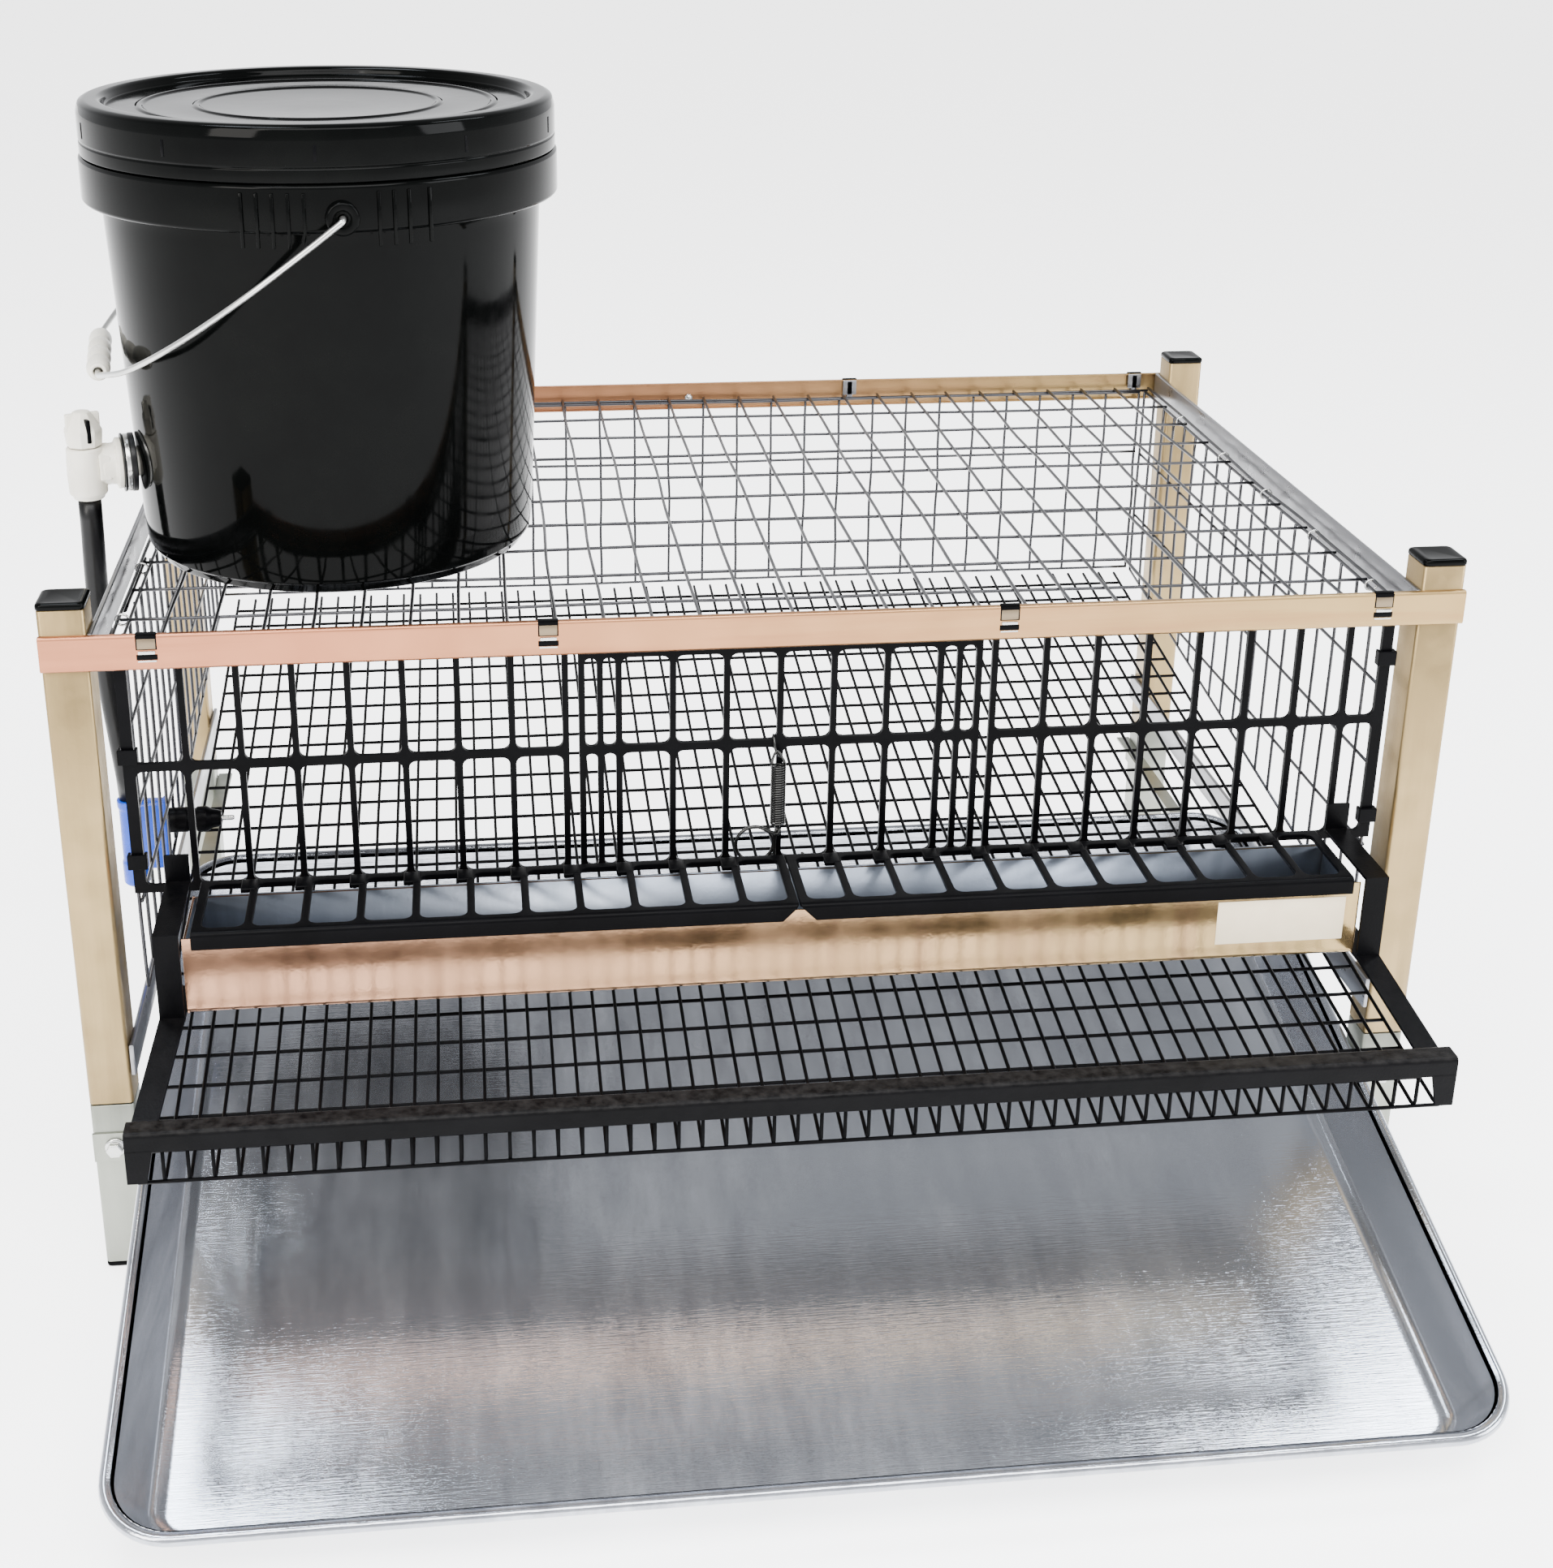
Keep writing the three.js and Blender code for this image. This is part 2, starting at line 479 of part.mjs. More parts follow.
// In the bail's own frame X runs from ear to ear and Y down along its arms.
const bailFrame = new THREE.Group();
const earAxis = new THREE.Vector3(Math.cos(EAR_AZIMUTH), Math.sin(EAR_AZIMUTH), 0);
const sideways = new THREE.Vector3(-Math.sin(EAR_AZIMUTH), Math.cos(EAR_AZIMUTH), 0);
const alongArms = sideways.multiplyScalar(Math.cos(BAIL.droop)).setZ(-Math.sin(BAIL.droop));
const bailNormal = new THREE.Vector3().crossVectors(earAxis, alongArms);
bailFrame.quaternion.setFromRotationMatrix(new THREE.Matrix4().makeBasis(earAxis, alongArms, bailNormal));
bailFrame.position.set(0, 0, EAR_Z);
bucketStand.add(bailFrame);

const halfBail = [
  [BAIL.halfSpan, -BAIL.wire / 2], [BAIL.halfSpan, 28], [143, 70], [127, 113],
  [98, 147], [BAIL.straight / 2 + 12, 166], [BAIL.straight / 2, BAIL.depth], [30, BAIL.depth], [0, BAIL.depth],
];
const otherHalf = halfBail.slice(0, -1).reverse().map(([x, y]) => [-x, y]);
const bailPoints = [...halfBail, ...otherHalf].map(([x, y]) => [x, y, 0]);
const stubs = [-1, 1].map((end) => rod(BAIL.wire / 2, 139.6, BAIL.halfSpan, 8).rotateY(end * Math.PI / 2));
addPiece("bail", join(sweep(bailPoints, BAIL.wire / 2, 6, 44), ...stubs), brightWire, bailFrame);
const gripHalf = BAIL.straight / 2 - 3;
const grip = sleeve(2.8, 7, -gripHalf, gripHalf, 14).rotateY(Math.PI / 2).translate(0, BAIL.depth, 0);
addPiece("bail_grip", grip, whitePlastic, bailFrame);

// ---- Outlet valve, hose and drinker -------------------------------------------------------------------
const valveX = VALVE.reach * Math.cos(VALVE.azimuth);
const valveY = VALVE.reach * Math.sin(VALVE.azimuth);
const valveBody = join(
  rod(11, VALVE.bottom, VALVE.top, 20).translate(valveX, valveY, 0),
  spoke(VALVE.azimuth, VALVE.z, 9, 108, 130, 16),
  spoke(VALVE.azimuth, VALVE.z, 13, 125.7, 131.5, 6),
  spoke(VALVE.azimuth, VALVE.z, 7.5, 130, VALVE.reach, 16));
addPiece("valve_body", valveBody, whitePlastic, bucketStand);

const leverFoot = VALVE.top + 0.3;
const leverTop = 491;
const leverHub = turned([[0, leverFoot], [10.5, leverFoot], [11.5, 480], [4.5, leverTop], [0, leverTop]], 16);
const leverBlade = block([-10, 10], [-1.8, 1.8], [478, 489]);
addPiece("valve_lever", join(leverHub, leverBlade).translate(valveX, valveY, 0), whitePlastic, bucketStand);

// The hose hangs from the valve down to the drinker, bowed a little by its own curl.
const HOSE_ROUTE = [
  [-392.9, -95, 436.7], [-393, -95, 424], [-393.2, -95, 411], [-393.5, -95.1, 398], [-393.7, -95.2, 385],
  [-393.8, -95.3, 372], [-393.7, -95.5, 359], [-393.4, -95.7, 346], [-392.9, -95.9, 333], [-392.2, -96.1, 320],
  [-391.3, -96.3, 307], [-390.2, -96.5, 294], [-389, -96.7, 281], [-387.8, -96.9, 268], [-386.7, -97, 255],
  [-386, -97, 240],
];
addPiece("hose", sweep(HOSE_ROUTE, HOSE_DIAMETER / 2, 10, 8), blackRubber);

const drinkerStem = rod(8.5, 180, DRINKER.top, 18).translate(DRINKER.x, DRINKER.y, 0);
const drinkerArm = block([DRINKER.x, -363.6], [DRINKER.y - 7, DRINKER.y + 5], [192, 238]);
addPiece("drinker_body", join(drinkerStem, drinkerArm), bluePlastic);

// Nipple and pin lie along +X, from the drinker's arm through the side panel into the cage.
const alongX = (geometry, x) => geometry.rotateY(Math.PI / 2).translate(x, NIPPLE.y, NIPPLE.z);
const NIPPLE_BACK = -363.3;
const nippleBody = turned([
  [0, 0], [8, 0], [8, 24], [6, 28], [5, 33], [2.2, 33], [2.2, 14], [0, 14],
], 16);
addPiece("nipple_body", alongX(nippleBody, NIPPLE_BACK), blackPlastic);
addPiece("nipple_pin", alongX(rod(1.6, 16, 41, 10), NIPPLE_BACK), brightWire);

// The origin is on the ground under the middle of the whole outline.
cage.position.set(-OUTLINE_CENTRE.x, -OUTLINE_CENTRE.y, 0);

export default cage;
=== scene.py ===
# %% [markdown]
# # A wire quail cage with a bucket drinker
#
# The cage is a box of welded wire hung between four square galvanised posts. Its barred plastic front has
# a door, a feed trough and two slotted trough covers; its black mesh floor slopes to the front and runs out
# under the trough as an egg tray; a bright droppings pan is drawn half out below; and a lidded bucket on the
# roof feeds a nipple through a short hose.
#
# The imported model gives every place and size. This script builds the visible surfaces round it with numpy,
# one family of shapes at a time, and gives each finish its own node material.

# %% Load the fixed frame
import json

import bmesh
import bpy
import numpy as np
from mathutils import Euler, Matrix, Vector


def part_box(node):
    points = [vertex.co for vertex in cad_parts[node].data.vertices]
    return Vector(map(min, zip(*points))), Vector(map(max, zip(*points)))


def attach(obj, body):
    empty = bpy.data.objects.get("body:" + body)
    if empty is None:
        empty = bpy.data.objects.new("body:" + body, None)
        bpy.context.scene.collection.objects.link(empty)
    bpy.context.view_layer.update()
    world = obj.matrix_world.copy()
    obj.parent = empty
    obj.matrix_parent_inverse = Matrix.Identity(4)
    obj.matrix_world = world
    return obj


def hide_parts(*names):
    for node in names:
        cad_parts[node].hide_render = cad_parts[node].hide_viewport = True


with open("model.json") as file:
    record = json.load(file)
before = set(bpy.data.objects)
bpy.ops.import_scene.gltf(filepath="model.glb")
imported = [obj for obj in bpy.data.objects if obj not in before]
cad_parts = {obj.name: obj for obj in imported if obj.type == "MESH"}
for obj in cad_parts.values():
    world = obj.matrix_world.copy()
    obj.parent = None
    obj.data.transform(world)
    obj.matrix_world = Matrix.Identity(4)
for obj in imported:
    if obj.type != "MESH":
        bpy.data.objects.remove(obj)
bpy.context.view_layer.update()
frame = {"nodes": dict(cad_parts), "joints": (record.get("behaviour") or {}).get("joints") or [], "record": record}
NODES = frame["nodes"]

# %% [markdown]
# ## One set of coordinates
#
# A cage is easiest to think about from the middle of its four feet, in millimetres: X to the right, Y to the
# rear, Z up. The four feet of the frame give that middle, so every shape below is written in those
# millimetres and moved into the frame's metres in one place.

# %% Millimetres from the middle of the feet
CORNERS = ("front_left", "front_right", "rear_left", "rear_right")
foot_boxes = np.array([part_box(f"foot_{corner}") for corner in CORNERS])
ORIGIN = foot_boxes.mean(axis=(0, 1)) * [1, 1, 0]


def to_frame(points):
    """Cage millimetres to the frame's metres: divide by 1000 and add the middle of the feet."""
    return np.asarray(points, dtype=float) / 1000 + ORIGIN


def cad(node):
    """The lowest and highest corner of a frame node, in cage millimetres."""
    low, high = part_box(node)
    return (np.array(low) - ORIGIN) * 1000, (np.array(high) - ORIGIN) * 1000


POST_HALF = cad("foot_front_right")[1][0]
print("middle of the feet", ORIGIN, "half width over the posts", POST_HALF)

# %% [markdown]
# ## Camera
#
# The cage is seen from a little left of its middle, from a standing person's height, looking down 21
# degrees. A small lens shift keeps the framing without tilting the camera further.

# %% Camera
CAMERA_PLACE = (-167.03, -1374.87, 835.54)
CAMERA_TURN = (1.20426, -0.00784, -0.11485)
SENSOR_WIDTH = 36.0
FOCAL_LENGTH = 50.64
SHIFT_ACROSS = 0.0389
SHIFT_UP = -0.1013

camera_data = bpy.data.cameras.new("camera")
camera_data.sensor_fit = "HORIZONTAL"
camera_data.sensor_width = SENSOR_WIDTH
camera_data.lens = FOCAL_LENGTH
camera_data.shift_x = SHIFT_ACROSS
camera_data.shift_y = SHIFT_UP
camera = bpy.data.objects.new("camera", camera_data)
camera.location = to_frame(CAMERA_PLACE)
camera.rotation_euler = Euler(CAMERA_TURN, "XYZ")
bpy.context.scene.collection.objects.link(camera)
bpy.context.scene.camera = camera

# %% [markdown]
# ## Making a piece
#
# Every shape function below returns points and faces as arrays. This one helper turns them into a mesh
# object: it welds what coincides, turns the faces outwards, names the piece's body and finish, and says
# which frame nodes it stands for.

# %% Piece builder
WELD = 2e-6
MATERIALS = {}


def make_piece(name, parts, finish, body="cage", stands_for=()):
    """One object from a list of (points, faces) parts, whose faces are index rows into their own points."""
    points = []
    faces = []
    offset = 0
    for part_points, part_faces in parts:
        points.append(to_frame(part_points))
        for rows in part_faces:
            faces.extend((np.asarray(rows) + offset).tolist())
        offset += len(part_points)
    mesh = bpy.data.meshes.new(name)
    mesh.from_pydata(np.concatenate(points).tolist(), [], faces)
    work = bmesh.new()
    work.from_mesh(mesh)
    bmesh.ops.remove_doubles(work, verts=work.verts, dist=WELD)
    bmesh.ops.recalc_face_normals(work, faces=work.faces)
    work.to_mesh(mesh)
    work.free()
    piece = bpy.data.objects.new(name, mesh)
    bpy.context.scene.collection.objects.link(piece)
    mesh.shade_smooth()
    material, slot = MATERIALS[finish]
    mesh.materials.append(material)
    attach(piece, body)
    if stands_for:
        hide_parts(*stands_for)
    return piece


def crisp(piece, width=0.4, segments=2, angle=35):
    """A bevel on every edge sharper than angle, with normals weighted so that flat faces stay flat."""
    bevel = piece.modifiers.new("edge", "BEVEL")
    bevel.width = width / 1000
    bevel.segments = segments
    bevel.limit_method = "ANGLE"
    bevel.angle_limit = np.radians(angle)
    piece.modifiers.new("flats", "WEIGHTED_NORMAL").keep_sharp = True
    return piece


def thicken(piece, thickness):
    """Gives a flat sheet its thickness, half to each side."""
    wall = piece.modifiers.new("wall", "SOLIDIFY")
    wall.thickness = thickness / 1000
    wall.offset = 0
    return piece


# %% [markdown]
# ## Shapes
#
# A handful of surfaces covers nearly everything here. A *tube* carries a circle along many wires at once. A
# *turned* shape carries a profile round an axis. A *stack* joins rounded rectangles level by level, which
# makes tubes, caps and the pan. A *carried* section follows a straight line, for folded sheet. A *window
# sheet* is a flat sheet with a rounded window in every cell, which a Solidify modifier then thickens.

# %% Surfaces worked out with numpy
def grid_quads(rows, columns, close_rows=False, close_columns=True):
    """Quads between neighbouring rows and columns of a grid of points stored row by row."""
    last_row = rows if close_rows else rows - 1
    last_column = columns if close_columns else columns - 1
    row, column = np.meshgrid(np.arange(last_row), np.arange(last_column), indexing="ij")
    next_row = (row + 1) % rows
    next_column = (column + 1) % columns
    quads = [row * columns + column, row * columns + next_column,
             next_row * columns + next_column, next_row * columns + column]
    return np.stack(quads, axis=-1).reshape(-1, 4)


def unit(vectors):
    return vectors / np.linalg.norm(vectors, axis=-1, keepdims=True)


def tube(paths, radius, sides=6, closed=False, reference=(0.0, 0.0, 1.0)):
    """Wires along paths (wires, steps, 3): point = path + radius * (cos a * across + sin a * up), where
    across is tangent x reference and up is across x tangent. Open wires get flat ends."""
    paths = np.asarray(paths, dtype=float)
    if paths.ndim == 2:
        paths = paths[None]
    wires, steps, _ = paths.shape
    if closed:
        tangent = np.roll(paths, -1, axis=1) - np.roll(paths, 1, axis=1)
    else:
        tangent = np.gradient(paths, axis=1)
    tangent = unit(tangent)
    across = unit(np.cross(tangent, np.asarray(reference, dtype=float)))
    up = np.cross(across, tangent)
    turn = np.linspace(0, 2 * np.pi, sides, endpoint=False)
    ring = np.cos(turn)[:, None] * across[:, :, None] + np.sin(turn)[:, None] * up[:, :, None]
    points = (paths[:, :, None] + radius * ring).reshape(-1, 3)
    quads = grid_quads(steps, sides, close_rows=closed)
    first = np.arange(wires)[:, None, None] * steps * sides
    faces = [(quads[None] + first).reshape(-1, 4)]
    if not closed:
        ends = np.arange(sides)
        starts = np.arange(wires)[:, None] * steps * sides
        faces += [starts + ends[::-1], starts + (steps - 1) * sides + ends]
    return points, faces


def turned(profile, segments=64, closed=False):
    """A profile of (radius, z) rows carried round Z. closed joins the last row to the first; otherwise the
    first and last rows are filled with flat discs."""
    profile = np.asarray(profile, dtype=float)
    turn = np.linspace(0, 2 * np.pi, segments, endpoint=False)
    circle = np.stack([np.cos(turn), np.sin(turn)], axis=-1)
    points = np.empty((len(profile), segments, 3))
    points[..., :2] = profile[:, None, :1] * circle
    points[..., 2] = profile[:, None, 1]
    faces = [grid_quads(len(profile), segments, close_rows=closed)]
    if not closed:
        ends = np.arange(segments)
        faces += [ends[None, ::-1], ends[None] + (len(profile) - 1) * segments]
    return points.reshape(-1, 3), faces


def fillet(profile, radius, steps=4):
    """Rounds each inner corner of a polyline: a quadratic curve from radius before it to radius after it."""
    profile = np.asarray(profile, dtype=float)
    before, corner, after = profile[:-2], profile[1:-1], profile[2:]
    reach = np.minimum(radius, 0.45 * np.minimum(
        np.linalg.norm(corner - before, axis=1), np.linalg.norm(after - corner, axis=1)))[:, None]
    start = corner + unit(before - corner) * reach
    end = corner + unit(after - corner) * reach
    t = np.linspace(0, 1, steps + 1)[None, :, None]
    curve = (1 - t) ** 2 * start[:, None] + 2 * t * (1 - t) * corner[:, None] + t ** 2 * end[:, None]
    return np.concatenate([profile[:1], curve.reshape(-1, profile.shape[1]), profile[-1:]])


def moved(part, place=(0, 0, 0), turn=None):
    """The same part turned by a 3x3 matrix and then moved."""
    points, faces = part
    if turn is not None:
        points = points @ np.asarray(turn, dtype=float).T
    return points + np.asarray(place, dtype=float), faces


def turn_about(axis, angle):
    """Rotation matrix about X, Y or Z by an angle in radians, by the right-hand rule."""
    c, s = np.cos(angle), np.sin(angle)
    matrices = {"x": [[1, 0, 0], [0, c, -s], [0, s, c]],
                "y": [[c, 0, s], [0, 1, 0], [-s, 0, c]],
                "z": [[c, -s, 0], [s, c, 0], [0, 0, 1]]}
    return np.array(matrices[axis])


def rounded_ring(half_x, half_y, radius, arc=5):
    """Points round a rectangle whose corners are arcs: corner centre + radius * (cos a, sin a)."""
    angle = np.radians(90 * np.arange(4)[:, None] + np.linspace(0, 90, arc + 1)[None])
    centre_x = np.array([1, -1, -1, 1])[:, None] * (half_x - radius)
    centre_y = np.array([1, 1, -1, -1])[:, None] * (half_y - radius)
    ring = np.stack([centre_x + radius * np.cos(angle), centre_y + radius * np.sin(angle)], axis=-1)
    return ring.reshape(-1, 2)


def stack(levels, arc=5, closed=False):
    """Rounded rectangles joined level by level; each level is (half x, half y, corner radius, z)."""
    rings = [rounded_ring(hx, hy, radius, arc) for hx, hy, radius, _ in levels]
    count = len(rings[0])
    points = np.empty((len(levels), count, 3))
    points[..., :2] = np.array(rings)
    points[..., 2] = np.array([level[3] for level in levels])[:, None]
    faces = [grid_quads(len(levels), count, close_rows=closed)]
    if not closed:
        ends = np.arange(count)
        faces += [ends[None, ::-1], ends[None] + (len(levels) - 1) * count]
    return points.reshape(-1, 3), faces


def block(low, high, round_by=0.8):
    """A box between two corners with rounded upright edges and softened ends."""
    low, high = np.minimum(low, high), np.maximum(low, high)
    half = (high - low) / 2
    r = min(round_by, 0.45 * half.min())
    levels = [(half[0] - r, half[1] - r, r * 0.6, -half[2]),
              (half[0] - 0.3 * r, half[1] - 0.3 * r, r, -half[2] + 0.3 * r),
              (half[0], half[1], r, -half[2] + r), (half[0], half[1], r, half[2] - r),
              (half[0] - 0.3 * r, half[1] - 0.3 * r, r, half[2] - 0.3 * r),
              (half[0] - r, half[1] - r, r * 0.6, half[2])]
    return moved(stack(levels, arc=3), (low + high) / 2)


def carried(section, start, end):
    """A closed section of (y, z) rows carried along X from start to end, with flat ends."""
    section = np.asarray(section, dtype=float)
    count = len(section)
    points = np.empty((2, count, 3))
    points[..., 1:] = section
    points[..., 0] = np.array([start, end])[:, None]
    ends = np.arange(count)
    return points.reshape(-1, 3), [grid_quads(2, count), ends[None, ::-1], ends[None] + count]


def folded(line, thickness):
    """A closed section of sheet: the line offset to both sides by half the thickness, there and back."""
    line = np.asarray(line, dtype=float)
    tangent = unit(np.gradient(line, axis=0))
    normal = np.stack([-tangent[:, 1], tangent[:, 0]], axis=-1) * thickness / 2
    return np.concatenate([line + normal, (line - normal)[::-1]])


SIDE = np.array([0, 0.12, 0.25, 0.5, 0.75, 0.88])
CORNER_STEPS = np.array([0, 22.5, 45, 45, 45, 67.5])
WINDOW_ANGLES = np.radians(225 + np.arange(4)[:, None] * 90 + CORNER_STEPS[None]).ravel()
WINDOW_STEP = np.array([0, 0, 0, 0.5, 1, 1])
ZERO, ONE = np.zeros(6), np.ones(6)
WINDOW_X = np.concatenate([WINDOW_STEP, ONE, 1 - WINDOW_STEP, ZERO])
WINDOW_Y = np.concatenate([ZERO, WINDOW_STEP, ONE, 1 - WINDOW_STEP])
CELL_X = np.concatenate([SIDE, ONE, 1 - SIDE, ZERO])
CELL_Y = np.concatenate([ZERO, SIDE, ONE, 1 - SIDE])


def window_sheet(columns, rows, radius):
    """A flat sheet in (u, v) with a rounded window in each cell. columns and rows are (middle, width) bars;
    a cell reaches from bar middle to bar middle, and each of its 24 rim points is joined to the point of the
    rounded window that lies next to it."""
    columns, rows = np.asarray(columns, dtype=float), np.asarray(rows, dtype=float)

    def spans(bars):
        middle, half = bars[:, 0], bars[:, 1] / 2
        edges = np.concatenate([[middle[0] - half[0]], middle[1:-1], [middle[-1] + half[-1]]])
        return edges[:-1], edges[1:], (middle + half)[:-1], (middle - half)[1:]

    u = [side[:, None, None] for side in spans(columns)]
    v = [side[None, :, None] for side in spans(rows)]
    shape = (len(columns) - 1, len(rows) - 1, len(CELL_X))
    outer = np.stack(np.broadcast_arrays(
        u[0] + (u[1] - u[0]) * CELL_X, v[0] + (v[1] - v[0]) * CELL_Y), axis=-1).reshape(shape + (2,))
    r = np.minimum(radius, 0.45 * np.minimum(u[3] - u[2], v[3] - v[2]))
    inner = np.stack(np.broadcast_arrays(
        u[2] + r + (u[3] - u[2] - 2 * r) * WINDOW_X + r * np.cos(WINDOW_ANGLES),
        v[2] + r + (v[3] - v[2] - 2 * r) * WINDOW_Y + r * np.sin(WINDOW_ANGLES)),
        axis=-1).reshape(shape + (2,))
    points = np.stack([outer, inner], axis=2).reshape(-1, 2)
    cells = shape[0] * shape[1]
    quads = grid_quads(2, shape[2])
    faces = (quads[None] + np.arange(cells)[:, None, None] * 2 * shape[2]).reshape(-1, 4)
    return points, [faces]


def spread(start, end, cells):
    return np.linspace(start, end, cells + 1)


# %% [markdown]
# ## Finishes
#
# Four effects are shared by most finishes, so each is a node group: soft *clouds* of tone, long *streaks* as
# on rolled sheet, a fine *grain* that tilts the normal, and *dust* that settles where a surface faces up.
# Each material places the groups it needs and keeps its own Principled shader.

# %% Shared effects
def new_group(name, inputs, outputs):
    """An empty node group; inputs are (name, default) numbers and outputs are (name, socket type)."""
    group = bpy.data.node_groups.new(name, "ShaderNodeTree")
    for label, default in inputs:
        socket = group.interface.new_socket(label, in_out="INPUT", socket_type="NodeSocketFloat")
        socket.default_value = default
    for label, kind in outputs:
        group.interface.new_socket(label, in_out="OUTPUT", socket_type=kind)
    return group, group.nodes.new("NodeGroupInput"), group.nodes.new("NodeGroupOutput")


def object_noise(tree, stretch=(1, 1, 1), detail=4.0, roughness=0.55):
    """Noise on Object coordinates, stretched by a Mapping node. Returns the noise node."""
    coordinates = tree.nodes.new("ShaderNodeTexCoord")
    mapping = tree.nodes.new("ShaderNodeMapping")
    mapping.inputs["Scale"].default_value = stretch
    noise = tree.nodes.new("ShaderNodeTexNoise")
    noise.inputs["Detail"].default_value = detail
    noise.inputs["Roughness"].default_value = roughness
    tree.links.new(coordinates.outputs["Object"], mapping.inputs["Vector"])
    tree.links.new(mapping.outputs["Vector"], noise.inputs["Vector"])
    return noise


def contrast(tree, source, low, high):
    """Stretches a mask so that low becomes 0 and high becomes 1."""
    node = tree.nodes.new("ShaderNodeMapRange")
    node.inputs["From Min"].default_value = low
    node.inputs["From Max"].default_value = high
    tree.links.new(source, node.inputs["Value"])
    return node.outputs["Result"]


def clouds_group():
    group, entry, leave = new_group("soft_clouds", [("Scale", 20.0)], [("Mask", "NodeSocketFloat")])
    noise = object_noise(group)
    group.links.new(entry.outputs["Scale"], noise.inputs["Scale"])
    group.links.new(contrast(group, noise.outputs["Fac"], 0.32, 0.68), leave.inputs["Mask"])
    return group


def streaks_group(name, stretch):
    group, entry, leave = new_group(name, [("Scale", 60.0)], [("Mask", "NodeSocketFloat")])
    noise = object_noise(group, stretch=stretch, detail=6.0, roughness=0.6)
    group.links.new(entry.outputs["Scale"], noise.inputs["Scale"])
    group.links.new(contrast(group, noise.outputs["Fac"], 0.3, 0.7), leave.inputs["Mask"])
    return group


def grain_group():
    group, entry, leave = new_group(
        "fine_grain", [("Scale", 900.0), ("Strength", 0.2)], [("Normal", "NodeSocketVector")])
    noise = object_noise(group, detail=3.0)
    bump = group.nodes.new("ShaderNodeBump")
    bump.inputs["Distance"].default_value = 0.0006
    group.links.new(entry.outputs["Scale"], noise.inputs["Scale"])
    group.links.new(entry.outputs["Strength"], bump.inputs["Strength"])
    group.links.new(noise.outputs["Fac"], bump.inputs["Height"])
    group.links.new(bump.outputs["Normal"], leave.inputs["Normal"])
    return group


def dust_group():
    """Mask = how far the surface faces up, times a patchy noise, times the amount asked for."""
    group, entry, leave = new_group(
        "settled_dust", [("Amount", 0.5)], [("Mask", "NodeSocketFloat")])
    geometry = group.nodes.new("ShaderNodeNewGeometry")
    split = group.nodes.new("ShaderNodeSeparateXYZ")
    group.links.new(geometry.outputs["Normal"], split.inputs["Vector"])
    facing_up = contrast(group, split.outputs["Z"], 0.25, 0.95)
    noise = object_noise(group, detail=8.0, roughness=0.7)
    noise.inputs["Scale"].default_value = 160.0
    patches = contrast(group, noise.outputs["Fac"], 0.35, 0.75)
    product = group.nodes.new("ShaderNodeMath")
    product.operation = "MULTIPLY"
    group.links.new(facing_up, product.inputs[0])
    group.links.new(patches, product.inputs[1])
    amount = group.nodes.new("ShaderNodeMath")
    amount.operation = "MULTIPLY"
    group.links.new(product.outputs["Value"], amount.inputs[0])
    group.links.new(entry.outputs["Amount"], amount.inputs[1])
    group.links.new(amount.outputs["Value"], leave.inputs["Mask"])
    return group


GROUPS = {
    "clouds": clouds_group(),
    "streaks_x": streaks_group("rolled_streaks_x", (0.05, 1, 1)),
    "streaks_y": streaks_group("rolled_streaks_y", (1, 0.05, 1)),
    "streaks_z": streaks_group("rolled_streaks_z", (1, 1, 0.05)),
    "grain": grain_group(),
    "dust": dust_group(),
}


# %% [markdown]
# A finish is then a short recipe: two tones mixed by a mask, a roughness that follows another mask, a bump,
# and dust or not. `Finish` keeps the wiring out of the recipes.

# %% Recipe helper
ROLLING_DEPTH = 0.0001
MIX_MASK, MIX_UNDER, MIX_OVER, MIX_RESULT = 0, 6, 7, 2  # colour sockets of a Mix node


